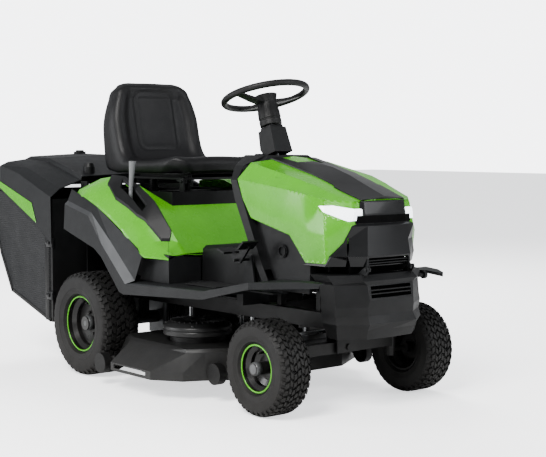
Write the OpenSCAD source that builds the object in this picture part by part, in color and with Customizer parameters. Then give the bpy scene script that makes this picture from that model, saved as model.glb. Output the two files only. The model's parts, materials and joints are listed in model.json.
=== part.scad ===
// Battery riding mower with a rear grass catcher.
// +X is forward, +Y is the driver's left, +Z is up, and the tyres stand on Z = 0.

/* [Overall] */
// Distance between the two axles
wheelbase = 1174; // [1100:1:1300]
// Reach of the front bumper ahead of the front axle
front_overhang = 282; // [262:1:300]
// Reach of the grass catcher behind the rear axle
rear_overhang = 976; // [900:1:1100]
// Width over the cutter deck
deck_w = 1110; // [1080:1:1180]
// Width over the two footboards
footboard_w = 940; // [930:1:1000]

/* [Wheels] */
// Front tyre outside diameter
front_tyre_d = 363; // [350:1:370]
// Front tyre section width
front_tyre_w = 146; // [130:1:150]
// Distance between the front tyre centres
front_track = 758; // [750:1:800]
// Front rim flange diameter
front_rim_d = 176; // [160:1:190]
// Rear tyre outside diameter
rear_tyre_d = 452; // [430:1:470]
// Rear tyre section width
rear_tyre_w = 190; // [170:1:195]
// Distance between the rear tyre centres
rear_track = 804; // [800:1:840]
// Rear rim flange diameter
rear_rim_d = 236; // [215:1:250]

/* [Hood] */
// Width of the hood at its shoulders
hood_w = 500; // [480:1:520]
// Height of the hood at its rear edge
hood_h = 955; // [940:1:970]

/* [Seat] */
// Width of the seat cushion
seat_w = 480; // [440:1:500]
// Depth of the seat over its backrest
seat_d = 585; // [560:1:600]
// Height of the seat top at its front
seat_h = 957; // [950:1:975]
// Height of the top of the backrest
back_h = 1290; // [1250:1:1320]

/* [Steering] */
// Outside diameter of the steering wheel
steering_wheel_d = 374; // [350:1:390]
// Diameter of the steering wheel grip
grip_d = 27; // [24:1:32]
// Height of the steering wheel centre
steering_h = 1210; // [1195:1:1230]
// Lean of the steering column from upright
column_lean = 17; // [12:1:22]
// Steering shaft diameter
shaft_d = 20; // [16:1:24]

/* [Deck] */
// Length of the cutter deck
deck_l = 665; // [620:1:680]
// Height of the deck rim above the ground
deck_rim_h = 80; // [75:1:95]
// Height of the deck top above the ground
deck_top_h = 205; // [200:1:212]
// Length of each blade
blade_l = 520; // [480:1:525]
// Distance that the deck lowers
deck_travel = 50; // [30:1:55]
// Deck sheet thickness
deck_t = 3; // [2:0.5:4]

/* [Catcher] */
// Width of the catcher lid
catcher_w = 900; // [840:1:940]
// Height of the catcher lid at its ridge
catcher_h = 955; // [930:1:980]

/* [Fits] */
// Radial running clearance of shafts in bores
fit = 0.05; // [0.02:0.01:0.1]
// Gap between bodies that move past each other
run_gap = 4; // [2:0.5:6]
// Gap between neighbouring panels of one body
panel_gap = 0.4; // [0.3:0.1:1]
// Wall of the moulded panels
wall = 4; // [3:0.5:5]
// Hitch pin hole diameter
hitch_pin_d = 19; // [13:1:22]

/* [Hidden] */
$fn = 48;
overall_l = front_overhang + wheelbase + rear_overhang;
front_x = overall_l / 2 - front_overhang;
rear_x = front_x - wheelbase;
front_r = front_tyre_d / 2;
rear_r = rear_tyre_d / 2;
foot_hw = footboard_w / 2;
hood_hw = hood_w / 2;
deck_hw = deck_w / 2;
catcher_hw = catcher_w / 2;
black = "#26282a";
dark = "#303234";
green = "#63b32e";
steel = "#8b8f93";
// Frame rails
rail_y = 160;
rail_w = 40;
rail_h = 60;
rail_z = 320;
rail_front = front_x + 130;
rail_rear = rear_x - 230;
// Front axle pivot and kingpins
pivot_z = front_r + 40;
kingpin_y = front_track / 2 - 118;
kingpin_d = 22;
stub_d = 20;
rear_shaft_d = 25;
// Steering geometry
column_base = [front_x - 408, 0, 981];
column_axis = [-sin(column_lean), 0, cos(column_lean)];
column_len = (steering_h - column_base[2]) / cos(column_lean);
shaft_drop = 190;
// Hood hinge at the low front edge
hood_pin_x = front_x + 258;
hood_pin_z = 548;
hood_pin_d = 12;
// Seat hinge ahead of the seat box
seat_pin_x = rear_x + 352;
seat_pin_z = 850;
seat_pin_d = 12;
seat_base_z = seat_h - 77;
seat_pan_z = seat_h - 72;
seat_front = rear_x + 384;
seat_rear = seat_front - seat_d;
// Deck
deck_cx = (front_x + rear_x) / 2 - 10;
deck_front = deck_cx + deck_l / 2;
deck_rear = deck_cx - deck_l / 2;
blade_y = blade_l / 2 + 6;
blade_z = deck_rim_h + 22;
spindle_d = 25;
roller_d = 84;
roller_w = 34;
roller_pin_d = 12;
hanger_d = 16;
hanger_y = rail_y - 20;
hanger_x = [deck_front - 130, deck_rear + 110];
// Catcher hinge
catcher_front = rear_x - 296;
catcher_rear = rear_x - rear_overhang;
catcher_pin_x = rear_x - 272;
catcher_pin_z = 826;
catcher_pin_d = 16;
// Lever
lever_x = rear_x + 232;
lever_z = 690;
lever_y = 372;
lever_pin_d = 12;
// Frame details
pivot_gap = 26;
pivot_d = 25;
arm_l = 95;
arm_lift = 14;
rear_tube_end = rear_track / 2 - rear_tyre_w / 2 - 32;
rear_side = foot_hw - 470;
// Footboards
floor_z = 446;
floor_in = 232;
riser_y = 394;
riser_x = rear_x + 560;
tunnel_hw = 236;
// Seat box
seat_box_l = 376;
seat_box_hw = 250;
seat_box_z = 700;
seat_box_top = 807;
// Grass path
chute_hw = 108;
chute_in_x = deck_rear + 60;
chute_out_z0 = 420;
chute_out_z1 = 600;
rear_plate_hw = 300;
frame_hw = 436;
bag_low = 196;
bag_hw = catcher_hw - 10;
wash_d = 22;
wash_x = deck_cx + 40;
motor_cover_d = 284;
// Instrument panel
panel_l = 75.2;
panel_w = 167.2;
key_at = [-18, -56];
button_at = [-10, 58];
// Pedals
pedal_x = front_x - 265;
pedal_z = 560;
pedal_y = 315;
pedal_pin_d = 12;

// ---- Shared shapes ----

function fx(v) = front_x + v;
function rx(v) = rear_x + v;
function right(p) = [p[0], -p[1], p[2]];

// Closed solid through rings of points, all rings with the same count
module loft(rings) {
  n = len(rings[0]);
  m = len(rings);
  points = [for (r = rings) each r];
  sides = [for (k = [0:m - 2], i = [0:n - 1]) let (j = (i + 1) % n)
    each [[k * n + i, k * n + j, (k + 1) * n + j], [k * n + i, (k + 1) * n + j, (k + 1) * n + i]]];
  // Each end is closed by a ladder of triangles between its opposite edges
  half = floor((n - 1) / 2) - 1;
  last = (m - 1) * n;
  ends = [for (i = [0:half]) let (a = i, b = i + 1, c = n - 2 - i, d = n - 1 - i) each concat(
    [[a, d, b], [last + a, last + b, last + d]], b == c ? [] : [[b, d, c], [last + b, last + c, last + d]])];
  faces = concat(sides, ends);
  // Rings may run either way round, so the faces are turned to point outwards
  centre = points[0];
  volume = [for (f = faces) (points[f[0]] - centre) * cross(points[f[1]] - centre, points[f[2]] - centre)]
    * [for (f = faces) 1];
  polyhedron(points, volume < 0 ? faces : [for (f = faces) [f[2], f[1], f[0]]], convexity = 10);
}

function shifted(ring, dx) = [for (p = ring) [p[0] + dx, p[1], p[2]]];

// Rings made longer at each end by a copy of the end ring, or shorter by moving it inwards
function lengthened(rings, back, front) = let (n = len(rings)) concat(
  back > 0 ? [shifted(rings[0], -back)] : [],
  [for (k = [0:n - 1]) shifted(rings[k], k == 0 && back < 0 ? -back : k == n - 1 && front < 0 ? front : 0)],
  front > 0 ? [shifted(rings[n - 1], front)] : []);

// Ring carried down from its two lowest points, for a cavity that is open below
function dropped(ring, drop) = let (a = ring[0], b = ring[len(ring) - 1])
  drop > 0 ? concat([[a[0], a[1], a[2] - drop]], ring, [[b[0], b[1], b[2] - drop]]) : ring;

// Ring from a half section that runs from the low outer edge to the top centre
function whole_ring(half) = let (n = len(half)) concat(
  [for (i = [0:n - 1]) right(half[i])],
  [for (i = [n - 1:-1:0]) if (half[i][1] > 0.01) half[i]]);

// Half section moved inwards and down by a wall thickness
function inset(half, t) = [for (p = half) [p[0], max(p[1] - (p[1] > 0.01 ? t : 0), 0), p[2] - t]];

// One moulding with only flat faces
module moulded() { resize([0, 0, 0]) children(); }

// Plate or bar in the XZ plane, extruded about y
module side_plate(y, t, pts) { translate([0, y + t / 2, 0]) rotate([90, 0, 0]) linear_extrude(t) polygon(pts); }

module pin_y(x, z, y0, y1, d) { translate([x, y0, z]) rotate([-90, 0, 0]) cylinder(h = y1 - y0, d = d); }

module box3(x0, x1, y0, y1, z0, z1) { translate([x0, y0, z0]) cube([x1 - x0, y1 - y0, z1 - z0]); }

module both_sides() { children(); mirror([0, 1, 0]) children(); }

// Upright box with round corners
module round_box(x0, x1, y0, y1, z0, z1, r) {
  translate([x0, y0, z0]) linear_extrude(z1 - z0) {
    translate([r, 0]) square([x1 - x0 - 2 * r, y1 - y0]);
    translate([0, r]) square([x1 - x0, y1 - y0 - 2 * r]);
    for (cx = [r, x1 - x0 - r], cy = [r, y1 - y0 - r]) translate([cx, cy]) circle(r);
  }
}

// ---- Frame and drive ----

module rail() {
  box3(rail_rear, rail_front, rail_y, rail_y + rail_w, rail_z, rail_z + rail_h);
}

// Bracket plate that carries the front axle pivot
module pivot_plate(x, t) {
  difference() {
    box3(x, x + t, -rail_y - rail_w, rail_y + rail_w, pivot_z - 20, rail_z);
    translate([x - 1, 0, pivot_z]) rotate([0, 90, 0]) cylinder(h = t + 2, d = pivot_d + 2 * fit);
    for (s = [-1, 1]) box3(x - 1, x + t + 1, s > 0 ? 60 : -rail_y - rail_w - 1, s > 0 ? rail_y + rail_w + 1 : -60,
      pivot_z - 21, rail_z - 12);
  }
}

module frame() {
  color(black) {
    both_sides() rail();
    for (x = [rail_front - 40, fx(-330), rx(470), rx(120), rail_rear])
      box3(x, x + 30, -rail_y, rail_y, rail_z + (x == rx(120) ? 4 : 0), rail_z + (x > rx(480) ? 50 : 20));
    for (x = [fx(-pivot_gap - 8), fx(pivot_gap)]) pivot_plate(x, 8);
    // Front plate that carries the bumper
    box3(rail_front, rail_front + 6, -190, 190, rail_z, rail_z + 150);
    // Deck hanger sleeves
    for (x = hanger_x, s = [-1, 1]) difference() {
      union() {
        translate([x, s * hanger_y, rail_z + 6]) cylinder(h = 48, d = hanger_d + 16);
        box3(x - 12, x + 12, s > 0 ? hanger_y + 12 : -rail_y, s > 0 ? rail_y : -hanger_y - 12, rail_z + 6, rail_z + 54);
      }
      translate([x, s * hanger_y, rail_z]) cylinder(h = 60, d = hanger_d + 2 * fit);
    }
    // Posts that carry the seat box
    both_sides() for (x = [rx(60), rx(340)]) box3(x, x + 30, rail_y, rail_y + 30, rail_z + rail_h, seat_box_z - 0.3);
    // Bracket that carries the height lever
    box3(lever_x - 12, rx(341), -rail_y - 24, -rail_y, lever_z - 50, lever_z - 26);
    box3(lever_x - 12, lever_x + 12, -lever_y + 20, -rail_y - 23, lever_z - 50, lever_z - 26);
    difference() {
      box3(lever_x - 14, lever_x + 14, -lever_y + 20, -lever_y + 28, lever_z - 50, lever_z + 14);
      pin_y(lever_x, lever_z, -lever_y + 10, -lever_y + 40, lever_pin_d + 2 * fit);
    }
  }
}

module hitch_plate() {
  color(black) difference() {
    box3(rail_rear - 46, rail_rear, -60, 60, rail_z, rail_z + 10);
    translate([rail_rear - 26, 0, rail_z - 1]) cylinder(h = 12, d = hitch_pin_d);
  }
}

module transaxle() {
  color("#5a5d60") difference() {
    union() {
      round_box(rx(-70), rx(70), -80, 80, rear_r - 75, rear_r + 80, 18);
      pin_y(rear_x, rear_r, -rear_tube_end, rear_tube_end, 56);
      for (s = [-1, 1]) box3(rx(-30), rx(30), s * (rail_y + rail_w / 2) - 15, s * (rail_y + rail_w / 2) + 15,
        rear_r + 10, rail_z);
    }
    pin_y(rear_x, rear_r, -rear_tube_end - 1, -90, rear_shaft_d + 2 * fit);
    pin_y(rear_x, rear_r, 90, rear_tube_end + 1, rear_shaft_d + 2 * fit);
  }
}

module drive_motor() {
  color(steel) {
    translate([rx(70), 0, rear_r]) rotate([0, 90, 0]) cylinder(h = 120, d = 130);
    for (k = [0:5]) translate([rx(84 + 16 * k), 0, rear_r]) rotate([0, 90, 0]) cylinder(h = 6, d = 146);
  }
}

module battery_pack() {
  color("#1d1e20") {
    for (k = [0:3]) round_box(fx(-190 + 68 * k), fx(-128 + 68 * k), -140, 140, 460, 640, 8);
    for (k = [0:3]) box3(fx(-175 + 68 * k), fx(-143 + 68 * k), -40, 40, 640, 652);
    box3(fx(-196), fx(82), -rail_y - 24, rail_y + 24, 450, 460);
    // Feet that stand on the frame rails
    both_sides() for (x = [-180, 50]) box3(fx(x), fx(x + 24), rail_y, rail_y + 24, rail_z + rail_h, 450.1);
  }
}

// ---- Rear body ----

// Half sections of the rear cover from the outer low edge to the centre
function rear_half(g) = [
  for (s = [
    [-116, [[424, 783], [408, 808], [352, 832], [250, 836], [0, 838]]],
    [-26, [[440, 788], [412, 818], [352, 858], [262, 852], [0, 846]]],
    [84, [[440, 748], [410, 810], [350, 871], [262, 842], [0, 838]]],
    [174, [[440, 706], [406, 780], [346, 866], [262, 815], [0, 812]]],
    [274, [[440, 655], [402, 735], [340, 832], [256, 780], [0, 780]]],
    [374, [[440, 574], [400, 675], [334, 766], [252, 752], [0, 752]]],
    [447, [[440, 551], [394, 606], [330, 688], [252, 684], [0, 684]]],
    [524, [[412, 549], [384, 574], [326, 608], [256, 600], [0, 600]]],
    [560, [[396, 546], [372, 556], [320, 562], [250, 556], [0, 560]]]
  ]) [for (p = s[1]) [rx(s[0]), p[0] + (p[0] > 0.01 ? rear_side : 0) + (p[0] > 300 ? g : 0), p[1] + g]]
];

module rear_solid(g, drop, back, front) {
  loft(lengthened([for (h = rear_half(g)) dropped(whole_ring(h), drop)], back, front));
}

// Plan outline of a lever console, given from the rear axle
function console_plan() = [[70, 352], [92, 390], [180, 408], [330, 398], [470, 372], [498, 348],
  [484, 330], [400, 334], [300, 346], [190, 352], [110, 340]];

module console_prism(grow) {
  both_sides() translate([rear_x, rear_side, 500]) linear_extrude(500) offset(delta = grow) polygon(console_plan());
}

module lever_slot() {
  translate([lever_x, -lever_y, lever_z]) rotate([90, 0, 0]) linear_extrude(22, center = true)
    polygon([[0, 0], [-105, 260], [150, 260], [115, 40]]);
}

module rear_cover() {
  color(green) moulded() difference() {
    rear_solid(0, 8, 0, 0);
    rear_solid(-wall, 60, -wall, 40);
    console_prism(-6);
    box3(rx(-140), rx(seat_box_l) + panel_gap, -seat_box_hw - panel_gap, seat_box_hw + panel_gap, 650, 900);
  }
}

module lever_consoles() {
  color(black) moulded() difference() {
    intersection() {
      rear_solid(6, 8, 0, 0);
      console_prism(0);
    }
    rear_solid(panel_gap, 60, 20, 20);
    lever_slot();
  }
}

module seat_box() {
  color(black) difference() {
    box3(rx(-120), rx(seat_box_l), -seat_box_hw, seat_box_hw, seat_box_z, seat_box_top);
    difference() {
      box3(rx(-112), rx(seat_box_l - 8), -seat_box_hw + 8, seat_box_hw - 8, seat_box_z + 8, seat_box_top + 1);
      // Crossbars that the seat springs press on
      for (x = [rx(-20), rx(250)]) box3(x, x + 50, -seat_box_hw, seat_box_hw, seat_box_z, seat_box_top - 10);
    }
  }
  color(black) both_sides() difference() {
    side_plate(180, 8, [[seat_pin_x - 26, seat_box_z + 8], [seat_pin_x + 22, seat_box_z + 8],
      [seat_pin_x + 12, seat_pin_z + 12], [seat_pin_x - 12, seat_pin_z + 12]]);
    pin_y(seat_pin_x, seat_pin_z, 170, 190, seat_pin_d + 2 * fit);
  }
}

module rear_panel() {
  color(black) difference() {
    union() {
      // Plate that closes the body behind the seat and frames the grass outlet
      box3(rail_rear - 8, rail_rear, -rear_plate_hw, rear_plate_hw, rail_z + rail_h + panel_gap, catcher_pin_z - 4);
      // Ears that carry the catcher hinge
      both_sides() side_plate(292, 10, [[rail_rear - 2, catcher_pin_z - 60], [rail_rear - 2, catcher_pin_z + 14],
        [catcher_pin_x - 16, catcher_pin_z + 14], [catcher_pin_x - 16, catcher_pin_z - 14]]);
    }
    box3(rail_rear - 60, rail_rear + 1, -chute_hw - panel_gap, chute_hw + panel_gap,
      chute_out_z0 - panel_gap, chute_out_z1 + panel_gap);
    pin_y(catcher_pin_x, catcher_pin_z, -320, 320, catcher_pin_d + 2 * fit);
  }
}

// Side profile of the fender and footboard edge, low points first
function edge_low() = [[rx(-148), 634], [rx(104), 563], [rx(160), 530], [rx(300), 392], [rx(332), 384],
  [fx(-289), 414], [fx(-3), 478], [fx(162), 486], [fx(225), 490]];
function edge_top(zs) = [[fx(228), 508], [fx(160), 512], [fx(-3), 504], [fx(-289), 446], [rx(345), zs[0]],
  [rx(zs[1]), zs[2]], [rx(zs[3]), zs[4]], [rx(60), zs[5]], [rx(-137), zs[6]]];

// Footboards draw in towards the bumper at their front ends
function drawn_in(x, y) = x > fx(-3) ? 300 + (y - 300) * (1 - 0.85 * (x - fx(-3)) / 231) : y;

function edge_ring(y, grow, low_drop, zs) = concat(
  [for (p = edge_low()) [p[0], drawn_in(p[0], y), p[1] - low_drop]],
  [for (p = edge_top(zs)) [p[0] + (p[0] < rear_x ? grow : 0), drawn_in(p[0], y), p[1] - grow]]);

function fender_rings(t, drop) = [
  edge_ring(300 + (drop > 0 ? -20 : 0), t, drop, [440, 400, 540, 330, 615, 722, 782]),
  edge_ring(foot_hw - 30, t, drop, [440, 430, 552, 330, 615, 722, 782]),
  edge_ring(foot_hw - 16, t, drop, [434, 395, 446, 212, 598, 714, 760]),
  edge_ring(foot_hw - t, t, drop, [428, 326, 446, 163, 586, 700, 745])];

module fender_shell() {
  difference() {
    loft([for (r = fender_rings(0, 0)) [for (i = [len(r) - 1:-1:0]) r[i]]]);
    loft([for (r = fender_rings(wall, 60)) [for (i = [len(r) - 1:-1:0]) r[i]]]);
  }
}

module lower_body() {
  color(dark) difference() {
    union() {
      both_sides() fender_shell();
      both_sides() {
        box3(rx(340), fx(-60), floor_in, 304, floor_z - 6, floor_z);
        side_plate(riser_y, 6, [[rx(352), floor_z - 3], [riser_x, floor_z - 3], [riser_x, 546], [rx(400), 546]]);
        box3(riser_x - 6, riser_x, tunnel_hw + panel_gap, riser_y + 3, floor_z - 3, 546);
        // Outrigger brackets down to the frame rails
        for (x = [rx(420), fx(-300)]) box3(x, x + 40, rail_y, floor_in + 60, rail_z + rail_h, floor_z - 6);
        for (x = [rx(420), fx(-300)]) box3(x, x + 40, floor_in + 50, foot_hw - 40, floor_z - 20, floor_z - 5);
        // Plate that carries a pedal
        side_plate(floor_in + 24, 8, [[pedal_x - 40, floor_z - 3], [pedal_x + 40, floor_z - 3],
          [pedal_x + 16, pedal_z + 16], [pedal_x - 16, pedal_z + 16]]);
      }
    }
    pin_y(pedal_x, pedal_z, -floor_in - 40, floor_in + 40, pedal_pin_d + 2 * fit);
    rear_solid(panel_gap, 60, 20, panel_gap);
    dash_solid(panel_gap);
  }
}

module foot_mats() {
  color("#1b1c1d") both_sides() {
    difference() {
      box3(rx(640), fx(-330), floor_in + 14, 372, floor_z + 0.3, floor_z + 5);
      for (k = [0:5]) box3(rx(650), fx(-340), floor_in + 24 + 22 * k, floor_in + 34 + 22 * k, floor_z + 3, floor_z + 6);
    }
  }
}

// Cover over the tunnel between the driver's feet
function tunnel_half(x, z) = [[x, tunnel_hw, floor_z + 0.4], [x, tunnel_hw - 4, z - 14], [x, tunnel_hw - 22, z], [x, 0, z]];

module tunnel_cover() {
  color(black) moulded() difference() {
    loft([whole_ring(tunnel_half(riser_x + 8, 592)), whole_ring(tunnel_half(fx(-300), 616)),
      whole_ring(tunnel_half(fx(-240), 560))]);
    loft([whole_ring(inset(tunnel_half(riser_x, 592), wall)), whole_ring(inset(tunnel_half(fx(-300), 616), wall)),
      whole_ring(inset(tunnel_half(fx(-230), 560), wall))]);
    rear_solid(panel_gap, 60, 20, panel_gap);
    dash_solid(panel_gap);
  }
}

// Plan rings of the dash tower: height, rear x, strip front x, inner front x, half width, inset, front width
function dash_rings(g) = [
  for (s = [
    [floor_z + panel_gap, -176, -136, 52, 0, 30],
    [560, -246, -204, 58, 0, 30],
    [690, -312, -268, 40, 0, 34],
    [800, -372, -322, -60, 2, 38],
    [868, -398, -360, -190, 6, 52],
    [925, -428, -372, -300, 52, 84],
    [966, -472, -350, -330, 138, 146]
  ]) let (w = hood_hw - s[4] + g, wi = hood_hw - s[5] + g)
    [[fx(s[1]) - g, -w, s[0]], [fx(s[2]), -w, s[0]], [fx(s[2]) + 6, -wi, s[0]], [fx(s[3]) + g, -wi, s[0]],
     [fx(s[3]) + g, wi, s[0]], [fx(s[2]) + 6, wi, s[0]], [fx(s[2]), w, s[0]], [fx(s[1]) - g, w, s[0]]]
];

module dash_solid(g) {
  rings = dash_rings(g);
  n = len(rings);
  loft(concat([[for (p = rings[0]) [p[0], p[1], p[2] - g]]], [for (k = [1:n - 1]) rings[k]],
    g > 0 ? [[for (p = rings[n - 1]) [p[0], p[1], p[2] + g]]] : []));
}

module dash_tower() {
  color(black) difference() {
    dash_solid(0);
    difference() {
      dash_solid(-wall);
      box3(fx(-600), fx(200), -300, 300, 961, 1100);
    }
    box3(fx(-240), fx(80), -hood_hw + 44, hood_hw - 44, floor_z - 10, floor_z + 20);
    hood_wall(run_gap);
    // Opening for the steering shaft
    along_column() cylinder(h = 200, d = shaft_d + 16, center = true);
    // Seat of the instrument panel
    dash_seat() translate([0, 0, -2]) linear_extrude(40) square([panel_l + 2 * panel_gap, panel_w + 2 * panel_gap], center = true);
    battery_space();
  }
}

module battery_space() { box3(fx(-204), fx(90), -rail_y - 28, rail_y + 28, 440, 660); }

module along_column() {
  translate(column_base) rotate([0, -column_lean, 0]) children();
}

module dash_seat() {
  translate([fx(-462), 0, 938]) rotate([0, -48, 0]) children();
}

module column_cover() {
  color(black) difference() {
    along_column() difference() {
      union() {
        translate([0, 0, -14]) rotate([0, 0, 45]) cylinder(h = 108, d1 = 134, d2 = 116, $fn = 4);
        translate([0, 0, 94]) rotate([0, 0, 45]) cylinder(h = 12, d1 = 96, d2 = 92, $fn = 4);
      }
      translate([0, 0, -15]) cylinder(h = 122, d = shaft_d + 2 * fit);
      translate([0, 0, -15]) cylinder(h = 60, d = 70);
    }
    dash_solid(panel_gap);
    dash_seat() translate([0, 0, -2]) linear_extrude(40) square([panel_l + 4 * panel_gap, panel_w + 4 * panel_gap], center = true);
  }
}

module dash_panel() {
  color("#3a3d40") dash_seat() difference() {
    translate([0, 0, -1.6]) linear_extrude(9) square([panel_l, panel_w], center = true);
    // Display window
    translate([4, 0, 5]) linear_extrude(4) square([46, 74], center = true);
    translate([key_at[0], key_at[1], -4]) cylinder(h = 20, d = 16 + 2 * fit);
    translate([button_at[0], button_at[1], -4]) cylinder(h = 20, d = 26 + 2 * fit);
  }
}

module key_switch() {
  color("#222426") dash_seat() translate([key_at[0], key_at[1], 0]) {
    translate([0, 0, -1]) cylinder(h = 10, d = 16);
    translate([0, 0, 8.9]) cylinder(h = 3, d = 22);
    translate([-12, -2, 11.8]) cube([24, 4, 22]);
  }
}

module blade_button() {
  color("#e0b400") dash_seat() translate([button_at[0], button_at[1], 0]) {
    translate([0, 0, -1]) cylinder(h = 14, d = 26);
    translate([0, 0, 12.9]) cylinder(h = 8, d = 34);
  }
}

// ---- Front bumper ----

function bumper_levels() = [
  [288, 140, 202, 190, 204, 258, 118, 268],
  [322, 130, 212, 196, 212, 268, 122, 276],
  [346, 126, 222, 206, 222, front_overhang - 2, 122, front_overhang],
  [376, 124, 222, 196, 220, 264, 118, 270],
  [408, 120, 224, 202, 222, 268, 120, 275],
  [434, 120, 222, 198, 220, 271, 114, 277],
  [492, 110, 224, 190, 222, 262, 120, 268],
  [506, 100, 236, 190, 234, 264, 140, 272],
  [528, 84, 246, 176, 244, 246, 132, 254]];

function bumper_rings(t) = [for (s = bumper_levels()) [
  [fx(s[1]), -s[2] + t, s[0]], [fx(s[3] - t), -s[4] + t, s[0]], [fx(s[5] - t), -s[6] + t / 2, s[0]],
  [fx(s[7] - t), 0, s[0]],
  [fx(s[5] - t), s[6] - t / 2, s[0]], [fx(s[3] - t), s[4] - t, s[0]], [fx(s[1]), s[2] - t, s[0]]]];

module bumper() {
  color(black) {
    difference() {
      loft(bumper_rings(0));
      difference() {
        loft([for (k = [0:8]) [for (p = bumper_rings(wall)[k]) [p[0] - (p[0] < fx(150) ? 20 : 0), p[1], p[2] - (k == 0 ? 1 : k == 8 ? wall : 0)]]]);
        // Bosses that bolt to the front plate
        for (s = [-1, 1]) box3(rail_front + 6.4, fx(285), s * 130 - 14, s * 130 + 14, 350, 420);
      }
      box3(fx(240), fx(290), -104, 104, 442, 486);
      box3(fx(60), rail_front + 6.4, -196, 196, 280, rail_z + 152);
    }
    // Ribs across the lower grille opening
    for (k = [0:1]) box3(fx(250), fx(266), -109, 109, 454 + 14 * k, 459 + 14 * k);
    // Ears that carry the hood hinge
    both_sides() difference() {
      side_plate(120, 8, [[hood_pin_x - 60, 520], [hood_pin_x - 4, 520], [hood_pin_x + 10, hood_pin_z - 8],
        [hood_pin_x + 8, hood_pin_z + 9], [hood_pin_x - 8, hood_pin_z + 9]]);
      pin_y(hood_pin_x, hood_pin_z, 110, 130, hood_pin_d + 2 * fit);
    }
  }
}

module tow_knob() {
  color(black) difference() {
    translate([fx(190), 222, 500]) rotate([-90, 0, 0]) {
      cylinder(h = 26, d = 16);
      translate([0, 0, 25.9]) cylinder(h = 14, d = 30);
    }
    loft(bumper_rings(-panel_gap));
  }
}

module charge_socket() {
  color("#151617") translate([fx(-100), -hood_hw + 29.6, 600]) rotate([90, 0, 0]) difference() {
    union() {
      translate([0, 0, 0]) cylinder(h = 5, d = 52);
      translate([0, 0, 4.9]) cylinder(h = 4, d = 44);
    }
    translate([0, 0, 2]) cylinder(h = 12, d = 34);
  }
}

// ---- Grass chute ----

// Side view of the chute: low or rear point and high or front point of each section
function chute_sections() = [
  [chute_in_x - 34, deck_top_h + 20, chute_in_x + 34, deck_top_h + 20],
  [chute_in_x - 50, 300, chute_in_x + 28, 330],
  [chute_in_x - 70, 352, chute_in_x - 4, 420],
  [chute_in_x - 124, 362, chute_in_x - 74, 474],
  [rail_rear + 40, chute_out_z0, rail_rear + 40, chute_out_z1],
  [catcher_front + 24, chute_out_z0, catcher_front + 24, chute_out_z1]];

// Tube through the sections, drawn in by g and lengthened at both ends by past
module chute_tube(g, past) {
  sections = chute_sections();
  last = len(sections) - 1;
  loft([for (k = [0:last]) let (s = sections[k], span = norm([s[2] - s[0], s[3] - s[1]]),
    dx = (s[2] - s[0]) * g / span, dz = (s[3] - s[1]) * g / span,
    ex = k == last ? -past : 0, ez = k == 0 ? -past : 0)
    [[s[0] + dx + ex, -chute_hw + g, s[1] + dz + ez], [s[0] + dx + ex, chute_hw - g, s[1] + dz + ez],
     [s[2] - dx + ex, chute_hw - g, s[3] - dz + ez], [s[2] - dx + ex, -chute_hw + g, s[3] - dz + ez]]]);
}

module discharge_chute() {
  color(black) moulded() difference() {
    chute_tube(0, 0);
    chute_tube(3, 1);
  }
}

// ---- Front axle and steering ----

module front_axle_beam() {
  color(black) difference() {
    union() {
      box3(fx(-20), fx(20), -kingpin_y + 10, kingpin_y - 10, pivot_z - 22, pivot_z + 22);
      for (s = [-1, 1]) translate([front_x, s * kingpin_y, pivot_z - 30]) cylinder(h = 60, d = 42);
      translate([fx(-pivot_gap - 14), 0, pivot_z]) rotate([0, 90, 0]) cylinder(h = 2 * pivot_gap + 28, d = pivot_d);
      translate([fx(-pivot_gap + 2), 0, pivot_z]) rotate([0, 90, 0]) cylinder(h = 2 * pivot_gap - 4, d = pivot_d + 22);
    }
    for (s = [-1, 1]) translate([front_x, s * kingpin_y, pivot_z - 31]) cylinder(h = 62, d = kingpin_d + 2 * fit);
  }
}

module knuckle() {
  color(black) union() {
    translate([front_x, -kingpin_y, front_r - 20]) cylinder(h = pivot_z + 40 - front_r + 20, d = kingpin_d);
    translate([front_x, -kingpin_y, front_r - 24]) cylinder(h = pivot_z - 30.4 - front_r + 24, d = 40);
    pin_y(front_x, front_r, -front_track / 2 - 62, -kingpin_y, stub_d);
    // Steering arm with its ball pin
    translate([front_x, -kingpin_y, pivot_z + 30.4]) cylinder(h = 12, d = 40);
    box3(fx(-arm_l), front_x, -kingpin_y - 12, -kingpin_y + 12, pivot_z + 30.4, pivot_z + 42.4);
    translate([fx(-arm_l), -kingpin_y, pivot_z + 30.4]) cylinder(h = 12, d = 24);
    translate([fx(-arm_l), -kingpin_y, pivot_z + 42]) cylinder(h = 22, d = 10);
  }
}

module knuckle_right() { knuckle(); }
module knuckle_left() { mirror([0, 1, 0]) knuckle(); }

module tie_rod() {
  color(steel) difference() {
    union() {
      box3(fx(-arm_l - 10), fx(-arm_l + 10), -kingpin_y + 20, kingpin_y - 20, pivot_z + 43, pivot_z + 55);
      for (s = [-1, 1]) box3(fx(-arm_l - 12), fx(-arm_l + arm_lift + 16), s * kingpin_y - 24, s * kingpin_y + 24,
        pivot_z + 43, pivot_z + 55);
    }
    for (s = [-1, 1]) box3(fx(-arm_l - 6), fx(-arm_l + arm_lift + 8), s * kingpin_y - 10, s * kingpin_y + 10,
      pivot_z + 42, pivot_z + 56);
  }
}

// ---- Wheels ----

// Half tyre section as [distance from the centre plane, radius], bead first
function tyre_half(w, r, rim_r) = [[w * 0.36 - 1, rim_r + panel_gap], [w * 0.36 - 1, rim_r + 6], [w * 0.43, rim_r + 12], [w * 0.49, rim_r + (r - rim_r) * 0.42],
  [w * 0.5, rim_r + (r - rim_r) * 0.56], [w * 0.485, r - (r - rim_r) * 0.22], [w * 0.42, r - 7], [w * 0.3, r]];
function tyre_inner(w, r, rim_r) = [[w * 0.29, rim_r + panel_gap], [w * 0.36, rim_r + 14], [w * 0.42, rim_r + (r - rim_r) * 0.5],
  [w * 0.38, r - 22], [w * 0.26, r - 14]];

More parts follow.
